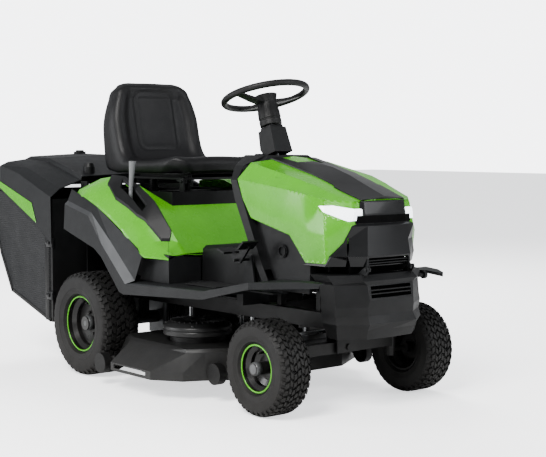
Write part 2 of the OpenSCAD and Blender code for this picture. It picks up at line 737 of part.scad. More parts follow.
module tyre(w, r, rim_r) {
  half = tyre_half(w, r, rim_r);
  core = tyre_inner(w, r, rim_r);
  n = len(half);
  m = len(core);
  rotate([90, 0, 0]) rotate_extrude($fn = 96) polygon(concat(
    [for (p = half) [p[1], p[0]]], [for (i = [n - 1:-1:0]) [half[i][1], -half[i][0]]],
    [for (p = core) [p[1], -p[0]]], [for (i = [m - 1:-1:0]) [core[i][1], core[i][0]]]));
}

// Rim with its well and disc; the disc is set in by disc_y from the centre plane, outwards at -Y
module rim(w, rim_r, disc_y, hub_r, bore_r, hub_l) {
  hw = w * 0.36;
  rotate([90, 0, 0]) rotate_extrude($fn = 96) polygon([
    [rim_r + 5, hw + 3], [rim_r + 5, hw - 0.4], [rim_r, hw - 1], [rim_r, hw * 0.72], [rim_r - 16, hw * 0.5],
    [rim_r - 16, -hw * 0.5], [rim_r, -hw * 0.72], [rim_r, -hw + 1], [rim_r + 5, -hw + 0.4], [rim_r + 5, -hw - 3],
    [rim_r - 3, -hw - 3], [rim_r - 3, -hw * 0.74], [rim_r - 19, -hw * 0.52], [rim_r - 19, disc_y - 4],
    [hub_r + 26, disc_y - 12], [hub_r, disc_y - 12], [hub_r, disc_y - hub_l / 2], [bore_r, disc_y - hub_l / 2],
    [bore_r, disc_y + hub_l / 2], [hub_r, disc_y + hub_l / 2], [hub_r, disc_y - 6], [hub_r + 24, disc_y - 6],
    [rim_r - 19, disc_y + 3], [rim_r - 19, hw * 0.52], [rim_r - 3, hw * 0.74], [rim_r - 3, hw + 3]]);
}

module front_rim() {
  color(black) translate([front_x, -front_track / 2, front_r]) {
    rim(front_tyre_w, front_rim_d / 2, 8, 24, stub_d / 2 + fit, 92);
    // Hub cap over the end of the stub axle
    translate([0, -38 - 0.2, 0]) rotate([90, 0, 0]) difference() {
      cylinder(h = 34, d = 46);
      translate([0, 0, -1]) cylinder(h = 29, d = stub_d + 8);
    }
  }
}

module front_tyre() {
  color("#1c1d1e") translate([front_x, -front_track / 2, front_r]) tyre(front_tyre_w, front_r, front_rim_d / 2);
}

module rear_rim() {
  color(black) translate([rear_x, -rear_track / 2, rear_r]) {
    rim(rear_tyre_w, rear_rim_d / 2, 14, 30, rear_shaft_d / 2 - 1, 80);
    // Driven shaft that runs into the axle tube
    rotate([90, 0, 0]) translate([0, 0, -(rear_track / 2 - 96)]) cylinder(h = rear_track / 2 - 96 + 40, d = rear_shaft_d);
    translate([0, -26 - 14, 0]) rotate([90, 0, 0]) cylinder(h = 12, d = 60);
    // Wheel nuts
    for (k = [0:4]) rotate([0, 72 * k + 18, 0]) translate([52, -16 + 14, 0]) rotate([90, 0, 0]) cylinder(h = 14, d = 15, $fn = 6);
  }
}

module rear_tyre() {
  color("#1c1d1e") translate([rear_x, -rear_track / 2, rear_r]) tyre(rear_tyre_w, rear_r, rear_rim_d / 2);
}

module front_rim_right() { front_rim(); }
module front_rim_left() { mirror([0, 1, 0]) front_rim(); }
module front_tyre_right() { front_tyre(); }
module front_tyre_left() { mirror([0, 1, 0]) front_tyre(); }
module rear_rim_right() { rear_rim(); }
module rear_rim_left() { mirror([0, 1, 0]) rear_rim(); }
module rear_tyre_right() { rear_tyre(); }
module rear_tyre_left() { mirror([0, 1, 0]) rear_tyre(); }

// ---- Steering wheel ----

module steering_wheel() {
  ring_r = (steering_wheel_d - grip_d) / 2;
  color(black) along_column() difference() {
    union() {
      translate([0, 0, column_len]) rotate_extrude($fn = 96) translate([ring_r, 0]) circle(d = grip_d, $fn = 24);
      translate([0, 0, column_len - 100]) cylinder(h = 78, d1 = 58, d2 = 84);
      translate([0, 0, column_len - 22.1]) cylinder(h = 22, d1 = 84, d2 = 96);
      for (a = [80, -80, 180]) rotate([0, 0, a]) spoke(ring_r);
    }
    translate([0, 0, column_len - 101]) cylinder(h = 70, d = shaft_d);
  }
}

// Tapered flat spoke that dips from the grip to the hub
module spoke(ring_r) {
  loft([for (s = [[20, 22, -30, 16], [ring_r * 0.5, 18, -22, 12], [ring_r - 2, 13, -4, 9]])
    [[s[0], -s[1], s[2] + column_len - s[3] / 2], [s[0], s[1], s[2] + column_len - s[3] / 2],
     [s[0], s[1], s[2] + column_len + s[3] / 2], [s[0], -s[1], s[2] + column_len + s[3] / 2]]]);
}

module steering_shaft() {
  color(steel) along_column() translate([0, 0, -shaft_drop]) cylinder(h = shaft_drop + column_len - 40, d = shaft_d);
}

// ---- Hood ----

// Half sections of the hood from its low edge to the top centre
function hood_half(g) = [
  for (s = [
    [[-272, 8, 721], [-316, 2, 794], [-352, 4, 873], [-318, 46, 938], [-292, 138, 950], [-300, 250, 962]],
    [[-36, 6, 667], [-40, 0, 714], [-36, 2, 838], [-52, 46, 884], [-60, 134, 893], [-60, 250, 916]],
    [[52, 10, 568], [52, 2, 700], [56, 4, 824], [46, 62, 856], [40, 138, 862], [40, 250, 885]],
    [[152, 24, 568], [156, 12, 676], [134, 30, 806], [122, 74, 828], [115, 140, 836], [112, 250, 856]],
    [[200, 78, 650], [222, 90, 707], [224, 98, 760], [214, 108, 799], [222, 144, 801], [228, 250, 812]]
  ]) [for (p = s) [fx(p[0]), p[1] == 250 ? 0 : hood_hw - p[1] + g, p[2] + g + hood_h - 955]]
];

module hood_solid(g, drop, back, front) {
  loft(lengthened([for (h = hood_half(g)) dropped(whole_ring(h), drop)], back, front));
}

// The hood's wall alone, grown on both faces, to clear what lies inside the hood
module hood_wall(g) {
  difference() {
    hood_solid(g, g, g, g);
    hood_solid(-wall - g, 200, 60, -wall - g);
  }
}

// Side view of a headlight
module lamp_prism(grow) {
  both_sides() translate([front_x, -110, hood_h - 955]) rotate([90, 0, 0]) linear_extrude(200) offset(delta = grow)
    polygon([[112, 782], [160, 785], [262, 764], [262, 738], [214, 726], [136, 762]]);
}

module strip_plan() {
  translate([front_x, 0]) polygon([[-340, -118], [76, -112], [80, -122], [120, -122], [260, -108], [260, 108], [120, 122],
    [80, 122], [76, 112], [-340, 118], [-340, 78], [-190, 70], [-176, 0], [-190, -70], [-340, -78]]);
}

module strip_prism(grow) { translate([0, 0, 700]) linear_extrude(400) offset(delta = grow) strip_plan(); }

module hood_shell() {
  color(green) moulded() difference() {
    hood_solid(0, 0, 0, 0);
    hood_solid(-wall, 200, 60, -wall);
    lamp_prism(panel_gap);
    // Air opening behind the grille
    box3(fx(200), fx(300), -96, 96, 500, 740);
  }
}

module hood_strip() {
  color(black) moulded() difference() {
    intersection() {
      hood_solid(5, 0, 4, 4);
      strip_prism(0);
      box3(fx(-400), fx(260), -130, 130, 770, 1000);
    }
    hood_solid(panel_gap, 200, 60, panel_gap);
    hood_solid(0, 0, 0, 0);
  }
}

module headlight() {
  color("#f2f6fa") difference() {
    intersection() {
      hood_solid(1.5, 0, 0, 1.5);
      lamp_prism(0);
      box3(fx(80), fx(300), -300, 0, 700, 820);
    }
    hood_solid(-14, 40, 40, -14);
  }
}

module headlight_right() { headlight(); }
module headlight_left() { mirror([0, 1, 0]) headlight(); }

// Levels of the grille: height, back x, back half width, side x, side half width, corner x, corner half width, nose x
function grille_levels() = [
  [558, 30, 234, 150, 230, 240, 120, 250],
  [596, 60, 234, 172, 218, 256, 112, 264],
  [652, 100, 222, 203, 176, 249, 106, 257],
  [708, 120, 206, 225, 160, 244, 102, 251],
  [716, 122, 200, 218, 156, 234, 100, 240],
  [748, 124, 190, 218, 152, 234, 104, 241],
  [756, 126, 180, 214, 140, 233, 106, 241],
  [796, 130, 160, 208, 126, 226, 104, 236]];

function grille_rings(t) = [for (s = grille_levels()) let (dz = hood_h - 955) [
  [fx(s[1]), -s[2] + t, s[0] + dz], [fx(s[3] - t), -s[4] + t, s[0] + dz], [fx(s[5] - t), -s[6] + t / 2, s[0] + dz],
  [fx(s[7] - t), 0, s[0] + dz],
  [fx(s[5] - t), s[6] - t / 2, s[0] + dz], [fx(s[3] - t), s[4] - t, s[0] + dz], [fx(s[1]), s[2] - t, s[0] + dz]]];

module hood_grille() {
  color(black) {
    moulded() difference() {
      union() {
        difference() {
          loft(grille_rings(0));
          loft([for (k = [0:7]) [for (p = grille_rings(wall)[k])
            [p[0] - (p[0] < fx(136) ? 20 : 0), p[1], p[2] - (k == 0 ? 1 : k == 7 ? wall : 0)]]]);
          box3(fx(225), fx(290), -102, 102, 562, 590);
          box3(fx(20), fx(210), -170, 170, 500, 900);
        }
        // Ribs across the upper opening
        for (k = [0:1]) box3(fx(238), fx(250), -107, 107, 567 + 10 * k, 571 + 10 * k);
      }
      hood_solid(panel_gap, 2, 0, panel_gap);
      hood_strip_space();
      lamp_prism(panel_gap);
    }
    // Hinge lugs with their pins
    both_sides() side_plate(108, 8, [[hood_pin_x - 20, 604], [hood_pin_x - 6, 604], [hood_pin_x - 3, 562],
      [hood_pin_x + 8, hood_pin_z + 4], [hood_pin_x + 6, hood_pin_z - 8], [hood_pin_x - 6, hood_pin_z - 8],
      [hood_pin_x - 20, 562]]);
    both_sides() pin_y(hood_pin_x, hood_pin_z, 104, 127, hood_pin_d);
  }
}

// Room for the hood strip in the grille's upper edge
module hood_strip_space() {
  intersection() {
    hood_solid(5 + panel_gap, 0, 4, 4 + panel_gap);
    strip_prism(panel_gap);
    box3(fx(-400), fx(300), -130, 130, 770 - panel_gap, 1000);
  }
}

// ---- Seat ----

// Side profile from the front low corner
function seat_profile() = [[-8, seat_pan_z], [-(seat_d - 44), seat_pan_z], [-seat_d, seat_pan_z + 46],
  [-seat_d, back_h - 66], [-(seat_d - 14), back_h - 22], [-(seat_d - 44), back_h], [-(seat_d - 74), back_h - 14],
  [-(seat_d - 92), back_h - 50], [-(seat_d - 140), seat_h + 66], [-(seat_d - 176), seat_h + 8], [-(seat_d - 240), seat_h - 14],
  [-170, seat_h - 12], [-60, seat_h], [-14, seat_h - 8], [0, seat_h - 28]];

module seat_plan() {
  hw = seat_w / 2;
  translate([seat_front - seat_d, 0]) {
    translate([0, -hw + 70]) square([seat_d - 80, seat_w - 140]);
    translate([70, -hw]) square([seat_d - 150, seat_w]);
    translate([seat_d - 100, -hw + 80]) square([100, seat_w - 160]);
    for (s = [-1, 1]) {
      translate([seat_d - 80, s * (hw - 80)]) circle(80);
      translate([70, s * (hw - 70)]) circle(70);
    }
  }
}

// Front view of the backrest, cut square below the seat top
module seat_front_view() {
  hw = seat_w / 2;
  translate([-hw, seat_pan_z - 20]) square([seat_w, seat_h - seat_pan_z + 60]);
  polygon([[-hw, seat_h + 39], [hw, seat_h + 39], [hw - 14, seat_h + 120], [hw - 42, back_h - 50], [-hw + 42, back_h - 50],
    [-hw + 14, seat_h + 120]]);
  translate([-hw + 92, back_h - 60]) square([seat_w - 184, 60]);
  for (s = [-1, 1]) translate([s * (hw - 92), back_h - 50]) circle(50);
}

module seat_cushion() {
  color(black) intersection() {
    translate([seat_front, 0, 0]) side_plate(0, seat_w + 2, seat_profile());
    translate([0, 0, seat_pan_z - 10]) linear_extrude(back_h) seat_plan();
    translate([seat_rear - 20, 0, 0]) rotate([90, 0, 90]) linear_extrude(seat_d + 60) seat_front_view();
  }
}

module seat_shell() {
  color("#1e2022") {
    // Pan under the cushion
    round_box(seat_rear + 50, seat_front - 30, -seat_w / 2 + 20, seat_w / 2 - 20, seat_base_z, seat_pan_z - 0.3, 60);
    // Back board behind the cushion
    round_box(seat_rear - 8, seat_rear - 0.3, -seat_w / 2 + 70, seat_w / 2 - 70, seat_pan_z + 40, back_h - 120, 3.5);
    box3(seat_rear - 8, seat_rear + 60, -60, 60, seat_base_z, seat_base_z + 4);
    box3(seat_rear - 8, seat_rear - 0.3, -60, 60, seat_base_z, seat_pan_z + 60);
  }
}

module seat_frame() {
  color("#2c2e30") {
    box3(rx(-60), seat_pin_x - 12, -166, 166, seat_base_z - 24, seat_base_z - 14);
    // Slide rails
    both_sides() box3(rx(-40), seat_pin_x - 24, 110, 134, seat_base_z - 14.1, seat_base_z - 0.3);
    // Hinge arms and pins
    both_sides() side_plate(165, 8, [[seat_pin_x - 60, seat_base_z - 14], [seat_pin_x - 60, seat_base_z - 30],
      [seat_pin_x - 8, seat_pin_z - 10], [seat_pin_x + 8, seat_pin_z - 10], [seat_pin_x + 8, seat_pin_z + 8],
      [seat_pin_x - 12, seat_base_z - 14]]);
    both_sides() pin_y(seat_pin_x, seat_pin_z, 161, 190, seat_pin_d);
    // Suspension springs
    both_sides() translate([rx(5), 90, seat_box_top - 9.7]) {
      cylinder(h = seat_base_z - 24 - seat_box_top + 9.8, d = 34);
      for (k = [0:4]) translate([0, 0, 4 + 10.5 * k]) cylinder(h = 5, d = 46);
    }
  }
}

// ---- Deck ----

// Plan outline of the deck's right half, front first
function deck_plan(inset_y, dx) = [[deck_front - dx, 0], [deck_front - dx, 240], [deck_front - 104 - dx * 0.6, 404 - inset_y * 0.1],
  [deck_front - 140 - dx * 0.6, 480 - inset_y * 0.2], [deck_front - 255, deck_hw - inset_y],
  [deck_rear + 120, deck_hw - inset_y], [deck_rear + dx, 440 - inset_y * 0.4],
  [deck_rear + dx, 150], [deck_rear + dx, 0]];

function deck_ring(z, inset_y, dx) = let (h = deck_plan(inset_y, dx), n = len(h)) concat(
  [for (i = [0:n - 1]) [h[i][0], h[i][1], z]], [for (i = [n - 2:-1:1]) [h[i][0], -h[i][1], z]]);

function deck_levels(t) = [deck_ring(deck_rim_h - (t > 0 ? 5 : 0), t, t), deck_ring(deck_rim_h + 34, t, t),
  deck_ring(deck_top_h - 14 - t, 96 + t, 4 + t), deck_ring(deck_top_h - t, 116 + t, 18 + t)];

module deck_solid(t) { loft(deck_levels(t)); }

module deck_shell() {
  color(dark) {
    difference() {
      deck_body();
      both_sides() for (c = [roller_at(true), roller_at(false)])
        pin_y(c[0], c[2], c[1] - roller_w / 2 - 12, c[1], roller_pin_d + 2 * fit);
    }
    // Wash-out port
    translate([wash_x, 0, deck_top_h - deck_t]) difference() {
      cylinder(h = 24, d = wash_d + 10);
      translate([0, 0, -1]) cylinder(h = 26, d = wash_d);
    }
  }
}

module deck_body() {
  moulded() difference() {
    union() {
      difference() {
        deck_solid(0);
        deck_solid(deck_t);
      }
      both_sides() {
        roller_fork(roller_at(true), 1);
        roller_fork(roller_at(false), -1);
      }
      // Collar round the grass outlet
      box3(deck_rear + 20, deck_rear + 100, -chute_hw + 2, chute_hw - 2, deck_top_h - 1, deck_top_h + 14);
    }
    // Grass outlet at the rear
    box3(deck_rear + 24, deck_rear + 96, -chute_hw + 6, chute_hw - 6, deck_top_h - 30, deck_top_h + 40);
    // Windows in the side skirts
    both_sides() box3(deck_cx - 190, deck_cx + 40, deck_hw - 20, deck_hw + 10, deck_rim_h + 12, deck_rim_h + 28);
    for (s = [-1, 1]) translate([deck_cx, s * blade_y, deck_top_h - 30]) cylinder(h = 60, d = spindle_d + 22, $fn = 32);
    translate([wash_x, 0, deck_top_h - 20]) cylinder(h = 60, d = wash_d + 4, $fn = 32);
  }
}

function roller_at(front) = front ? [deck_front - 35, 392, deck_rim_h + 36] : [deck_rear + 22, deck_hw - roller_w / 2 - 8, deck_rim_h + 16];

// Single arm that carries a roller on its inner side
module roller_fork(c, s) {
  translate([0, c[1] - roller_w / 2 - 6, 0]) rotate([90, 0, 0]) linear_extrude(6, center = true)
    polygon([[c[0] - s * 14, c[2] - 14], [c[0] + s * 14, c[2] - 14], [c[0] + s * 14, c[2] + 16],
      [c[0] - s * 50, c[2] + 34], [c[0] - s * 70, c[2] + 10]]);
}

module roller(c) {
  color("#2a2c2e") {
    pin_y(c[0], c[2], c[1] - roller_w / 2, c[1] + roller_w / 2, roller_d);
    pin_y(c[0], c[2], c[1] - roller_w / 2 - 12, c[1] - roller_w / 2 + 1, roller_pin_d);
  }
}

module roller_front_left() { roller(roller_at(true)); }
module roller_front_right() { mirror([0, 1, 0]) roller(roller_at(true)); }
module roller_rear_left() { roller(roller_at(false)); }
module roller_rear_right() { mirror([0, 1, 0]) roller(roller_at(false)); }

module blade_motors() {
  color(dark) for (s = [-1, 1]) translate([deck_cx, s * blade_y, 0]) difference() {
    union() {
      translate([0, 0, deck_top_h + 0.3]) cylinder(h = 24, d = 230);
      translate([0, 0, deck_top_h + 24]) cylinder(h = 62, d = motor_cover_d);
      translate([0, 0, deck_top_h - 12]) cylinder(h = 13, d = spindle_d + 18);
    }
    translate([0, 0, deck_top_h - 20]) cylinder(h = 70, d = spindle_d + 2 * fit);
  }
}

module deck_hangers() {
  color(steel) for (x = hanger_x, s = [-1, 1]) {
    translate([x, s * hanger_y, deck_top_h + 0.2]) cylinder(h = rail_z + 60 + deck_travel - deck_top_h, d = hanger_d);
    translate([x, s * hanger_y, deck_top_h + 0.2]) cylinder(h = 8, d = 34);
  }
}

module blade(s) {
  color(steel) translate([deck_cx, s * blade_y, 0]) {
    translate([0, 0, blade_z]) cylinder(h = deck_top_h + 30 - blade_z, d = spindle_d);
    translate([-28, -blade_l / 2 + 24, blade_z - 6]) cube([56, blade_l - 48, 5]);
    translate([-28, -blade_l / 2, blade_z - 6]) cube([34, 30, 5]);
    translate([-6, blade_l / 2 - 30, blade_z - 6]) cube([34, 30, 5]);
    translate([0, 0, blade_z - 14]) cylinder(h = 16, d = 40);
  }
}

module blade_right() { blade(-1); }
module blade_left() { blade(1); }

// ---- Controls ----

module height_lever() {
  color("#77797c") {
    pin_y(lever_x, lever_z, -lever_y - 8, -lever_y + 34, lever_pin_d);
    side_plate(-lever_y, 8, [[lever_x - 14, lever_z - 14], [lever_x + 14, lever_z - 14], [lever_x + 16, lever_z],
      [lever_x + 22, lever_z + 130], [lever_x + 6, lever_z + 130]]);
    translate([lever_x + 14, -lever_y, lever_z + 128]) rotate([0, 7, 0]) {
      cylinder(h = 70, d1 = 18, d2 = 24);
      translate([0, 0, 70]) cylinder(h = 50, d1 = 24, d2 = 32);
    }
  }
}

// Treadle with a front and a rear pad
module drive_pedal() {
  color(black) mirror([0, 1, 0]) {
    pin_y(pedal_x, pedal_z, floor_in + 14, pedal_y + 20, pedal_pin_d);
    side_plate(pedal_y - 6, 10, [[pedal_x - 14, pedal_z - 12], [pedal_x + 14, pedal_z - 12], [pedal_x + 74, pedal_z + 54],
      [pedal_x + 66, pedal_z + 64], [pedal_x, pedal_z + 20], [pedal_x - 58, pedal_z + 34], [pedal_x - 64, pedal_z + 24]]);
    side_plate(pedal_y, 76, [[pedal_x + 50, pedal_z + 44], [pedal_x + 84, pedal_z + 74], [pedal_x + 80, pedal_z + 80],
      [pedal_x + 44, pedal_z + 50]]);
    side_plate(pedal_y, 76, [[pedal_x - 40, pedal_z + 22], [pedal_x - 38, pedal_z + 30], [pedal_x - 82, pedal_z + 44],
      [pedal_x - 84, pedal_z + 36]]);
  }
}

module brake_pedal() {
  color(black) {
    pin_y(pedal_x, pedal_z, floor_in + 14, pedal_y + 20, pedal_pin_d);
    side_plate(pedal_y - 6, 10, [[pedal_x - 14, pedal_z - 10], [pedal_x + 14, pedal_z - 10], [pedal_x + 50, pedal_z + 80],
      [pedal_x + 38, pedal_z + 74]]);
    side_plate(pedal_y, 86, [[pedal_x + 10, pedal_z + 48], [pedal_x + 58, pedal_z + 84], [pedal_x + 54, pedal_z + 90],
      [pedal_x + 6, pedal_z + 54]]);
  }
}

// ---- Grass catcher ----

// Half sections of the lid from its low edge to the top centre
function lid_half(g) = [
  for (s = [
    [300, [[2, 556], [0, 770], [48, 808], [160, 846], [166, 862], [450, 872]]],
    [430, [[0, 636], [0, 815], [46, 850], [160, 880], [166, 900], [450, 920]]],
    [600, [[0, 708], [2, 872], [45, 900], [160, 925], [168, 942], [450, 955]]],
    [780, [[4, 788], [6, 908], [45, 925], [150, 938], [168, 950], [450, 963]]],
    [900, [[34, 800], [38, 884], [74, 900], [164, 914], [184, 926], [450, 940]]],
    [rear_overhang, [[92, 800], [102, 846], [134, 860], [194, 872], [214, 880], [450, 888]]]
  ]) [for (p = s[1]) [rx(-s[0]), p[0] == 450 ? 0 : catcher_hw - p[0] + g, p[1] + g + catcher_h - 955]]
];

module lid_solid(g, drop, back, front) {
  halves = lid_half(g);
  n = len(halves);
  loft(lengthened([for (k = [n - 1:-1:0]) dropped(whole_ring(halves[k]), drop)], back, front));
}

module stripe_prism() {
  translate([rear_x, 0, catcher_h - 955]) rotate([90, 0, 0]) linear_extrude(1200, center = true)
    polygon([[-428, 646], [-471, 738], [-777, 828], [-870, 850], [-870, 820], [-777, 796]]);
}

module catcher_cover() {
  color(dark) difference() {
    lid_solid(0, 0, 0, 0);
    lid_solid(-wall, 200, -wall, 60);
  }
}

module catcher_stripes() {
  color(green) difference() {
    intersection() {
      lid_solid(3, 0, 0, 0);
      stripe_prism();
    }
    lid_solid(panel_gap, 200, 60, 60);
  }
}

module catcher_frame() {
  color(black) {
    difference() {
      box3(catcher_front - 24, catcher_front - 14, -frame_hw, frame_hw, bag_low, 760);
      box3(catcher_front - 30, catcher_front, -chute_hw - 10, chute_hw + 10, chute_out_z0 - 10, chute_out_z1 + 10);
    }
    // Tubes round the mouth
    both_sides() box3(catcher_front - 36, catcher_front - 24, frame_hw - 24, frame_hw, bag_low, 760);
    box3(catcher_front - 36, catcher_front - 24, -frame_hw, frame_hw, bag_low, bag_low + 20);
    // Hinge arms and pins
    both_sides() side_plate(278, 8, [[catcher_front - 24, 700], [catcher_front - 14, 700], [catcher_front - 14, catcher_pin_z - 30],
      [catcher_pin_x + 10, catcher_pin_z - 10], [catcher_pin_x + 10, catcher_pin_z + 10],
      [catcher_pin_x - 10, catcher_pin_z + 10], [catcher_front - 24, catcher_pin_z - 30]]);
    both_sides() pin_y(catcher_pin_x, catcher_pin_z, 274, 300, catcher_pin_d);
  }
}

// Side outline of the bag below the lid
function bag_profile(t) = [[rx(-332) - t, bag_low + t], [rx(-696), 306 + t], [rx(-800) + t, 480], [rx(-rear_overhang + 50) + t, 786 + t],
  [rx(-780), 784 + (t > 0 ? 60 : 0)], [rx(-430), 660 + (t > 0 ? 60 : 0)], [rx(-332) - t, 590 + (t > 0 ? 60 : 0)]];

module catcher_bag() {
  color("#17181a") difference() {
    side_plate(0, 2 * bag_hw, bag_profile(0));
    side_plate(0, 2 * bag_hw - 6, bag_profile(3));
    box3(catcher_front - 60, catcher_front, -chute_hw - 10, chute_hw + 10, chute_out_z0 - 10, chute_out_z1 + 10);
  }
}

module catcher_handle() {
  color(black) moulded() difference() {
    union() {
      for (s = [-1, 1]) translate([rx(-350), s * 214, catcher_h - 100]) {
        cylinder(h = 48, d = 52);
        translate([0, 0, 48]) cylinder(h = 18, d1 = 52, d2 = 40);
      }
      translate([rx(-790), 0, catcher_h - 10]) {
        cylinder(h = 26, d = 60);
        translate([0, 0, 26]) cylinder(h = 8, d1 = 44, d2 = 36);
      }
    }
    lid_solid(panel_gap, 200, 0, 0);
  }
}

frame();
hitch_plate();
transaxle();
drive_motor();
battery_pack();
lower_body();
foot_mats();
rear_cover();
lever_consoles();
seat_box();
tunnel_cover();
dash_tower();
column_cover();
dash_panel();
bumper();
tow_knob();
charge_socket();
discharge_chute();
rear_panel();
front_axle_beam();
knuckle_right();
knuckle_left();
tie_rod();
front_rim_right();
front_tyre_right();
front_rim_left();
front_tyre_left();
rear_rim_right();
rear_tyre_right();
rear_rim_left();
rear_tyre_left();
steering_wheel();
steering_shaft();
hood_shell();
hood_strip();
hood_grille();
headlight_right();
headlight_left();
seat_frame();
seat_shell();
seat_cushion();
deck_shell();
blade_motors();
deck_hangers();
blade_right();
blade_left();
roller_front_right();
roller_front_left();
roller_rear_right();
roller_rear_left();
height_lever();
catcher_cover();
catcher_stripes();
catcher_frame();
catcher_bag();
catcher_handle();
drive_pedal();
brake_pedal();
key_switch();
blade_button();
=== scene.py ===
"""Looks of a battery riding mower with a rear grass catcher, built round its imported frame."""
import json
import math

import bmesh
import bpy
from bpy.props import FloatProperty, FloatVectorProperty, IntProperty, PointerProperty
from mathutils import Matrix, Vector, noise

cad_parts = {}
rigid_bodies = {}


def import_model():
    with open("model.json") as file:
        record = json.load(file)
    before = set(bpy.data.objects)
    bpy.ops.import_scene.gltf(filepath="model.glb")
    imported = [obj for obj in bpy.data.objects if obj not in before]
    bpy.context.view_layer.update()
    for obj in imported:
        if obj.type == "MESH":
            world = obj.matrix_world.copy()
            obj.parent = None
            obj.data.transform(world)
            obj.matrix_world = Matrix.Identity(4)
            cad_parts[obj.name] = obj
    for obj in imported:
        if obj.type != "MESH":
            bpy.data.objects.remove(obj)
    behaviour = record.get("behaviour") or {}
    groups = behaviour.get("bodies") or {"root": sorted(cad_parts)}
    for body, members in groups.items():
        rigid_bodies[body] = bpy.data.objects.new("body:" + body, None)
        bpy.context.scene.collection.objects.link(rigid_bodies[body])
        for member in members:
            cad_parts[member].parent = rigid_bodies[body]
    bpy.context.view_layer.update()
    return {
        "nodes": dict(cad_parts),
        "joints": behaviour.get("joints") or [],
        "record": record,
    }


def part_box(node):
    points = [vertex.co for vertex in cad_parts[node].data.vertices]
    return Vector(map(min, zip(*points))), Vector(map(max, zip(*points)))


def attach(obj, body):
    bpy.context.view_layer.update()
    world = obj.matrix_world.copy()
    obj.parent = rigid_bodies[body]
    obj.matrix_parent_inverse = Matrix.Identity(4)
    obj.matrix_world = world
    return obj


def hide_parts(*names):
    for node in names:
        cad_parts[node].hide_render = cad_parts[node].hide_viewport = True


bl_info = {
    "name": "Riding Mower",
    "version": (1, 0, 0),
    "blender": (4, 5, 0),
    "location": "View3D > Sidebar > Mower",
    "description": "Builds the visible pieces of a riding mower with a grass catcher",
    "category": "Add Mesh",
}

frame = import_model()
NODES = frame["nodes"]
BODY = {node: body for body, nodes in frame["record"]["behaviour"]["bodies"].items() for node in nodes}
SLOT = {row["node"]: row["material_slot"] for row in frame["record"]["subparts"]}
JOINT = {joint["name"]: joint for joint in frame["joints"]}
TAU = 2 * math.pi

# Values that the sidebar doesn't offer: sizes in metres, and shares and counts where the name or comment says so
WELD = 0.00002                      # points nearer than this become one
FINE_WELD = 0.00001
WHEELS = {                          # width and outer radius of the tyre, radius of the rim
    "front": (0.146, 0.1815, 0.088),
    "rear": (0.190, 0.226, 0.118),
}
BEAD = 0.36                         # share of a tyre's width from its middle to its bead
TREAD_EDGE = 0.30                   # share of a tyre's width from its middle to the end of the flat tread
SHOULDER = 0.42                     # the same to the shoulder, which is lower by SHOULDER_DROP
SHOULDER_DROP = 0.007
TREAD_SINK = 0.0015                 # how far a block's foot sinks into the carcass
SEAT_LENGTH_CELLS, SEAT_WIDTH_CELLS = 150, 88
BAG_CUTS = 47
MOTOR_FINS = 28
FENDER_EDGE_Y = 0.440               # where the fender's cut edge lies from the centre plane
SKY_WHITE = (0.97, 0.98, 1.0, 1)
MIX_A, MIX_B, MIX_RESULT = 6, 7, 2  # the colour sockets of a Mix node


def joint_point(name):
    return Vector(JOINT[name]["pos_m"])


# ---- Sizes and colours ----

class MowerSizes(bpy.types.PropertyGroup):
    """Sizes of the details that the frame leaves open"""
    panel_edge: FloatProperty(name="Panel edge", description="Radius of the rims of the green panels",
                              default=0.0016, min=0.0005, max=0.0019, unit="LENGTH")
    small_edge: FloatProperty(name="Small edge", description="Radius of the edges of small parts",
                              default=0.0015, min=0.0005, max=0.004, unit="LENGTH")
    tread_depth: FloatProperty(name="Tread depth", description="Height of the tyre blocks",
                               default=0.008, min=0.004, max=0.012, unit="LENGTH")
    front_blocks: IntProperty(name="Front blocks", description="Tread blocks round a front tyre",
                              default=38, min=20, max=60)
    rear_blocks: IntProperty(name="Rear blocks", description="Tread blocks round a rear tyre",
                             default=40, min=20, max=60)
    seat_bolster: FloatProperty(name="Seat bolster", description="Height of the seat's side bolsters",
                                default=0.020, min=0.01, max=0.04, unit="LENGTH")
    bag_sag: FloatProperty(name="Bag sag", description="How far the bag's panels hang in between their seams",
                           default=0.008, min=0.0, max=0.02, unit="LENGTH")


class MowerColours(bpy.types.PropertyGroup):
    """Colours of the finishes"""
    green: FloatVectorProperty(name="Green", description="Moulded body panels", subtype="COLOR",
                               default=(0.088, 0.330, 0.022), min=0, max=1)
    black: FloatVectorProperty(name="Black", description="Black moulded plastic", subtype="COLOR",
                               default=(0.0085, 0.0088, 0.0095), min=0, max=1)
    charcoal: FloatVectorProperty(name="Charcoal", description="Charcoal moulded plastic", subtype="COLOR",
                                  default=(0.013, 0.0138, 0.015), min=0, max=1)
    # Colour of the painted highlight on the footboards' upward-facing edge
    edge_highlight_colour: FloatVectorProperty(name="Edge highlight", description="Lighter bevelled edge of the footboards",
                                   subtype="COLOR", default=(0.046, 0.048, 0.051), min=0, max=1)
    steel: FloatVectorProperty(name="Steel", description="Bright steel", subtype="COLOR",
                               default=(0.46, 0.47, 0.48), min=0, max=1)
    rubber: FloatVectorProperty(name="Rubber", description="Tyre rubber", subtype="COLOR",
                                default=(0.0115, 0.0115, 0.0120), min=0, max=1)
    vinyl: FloatVectorProperty(name="Vinyl", description="Seat vinyl", subtype="COLOR",
                               default=(0.0085, 0.0085, 0.0095), min=0, max=1)
    lamp: FloatVectorProperty(name="Lamp", description="Headlight lens", subtype="COLOR",
                              default=(0.86, 0.90, 0.95), min=0, max=1)


# ---- Finishes ----

def node(tree, kind, at, **values):
    """Adds a shader node; each key is one of its inputs, with _ for a space, or one of its settings."""
    made = tree.nodes.new(kind)
    made.location = at
    for key, value in values.items():
        name = key.replace("_", " ")
        if name in made.inputs:
            made.inputs[name].default_value = value
        else:
            setattr(made, key, value)
    return made


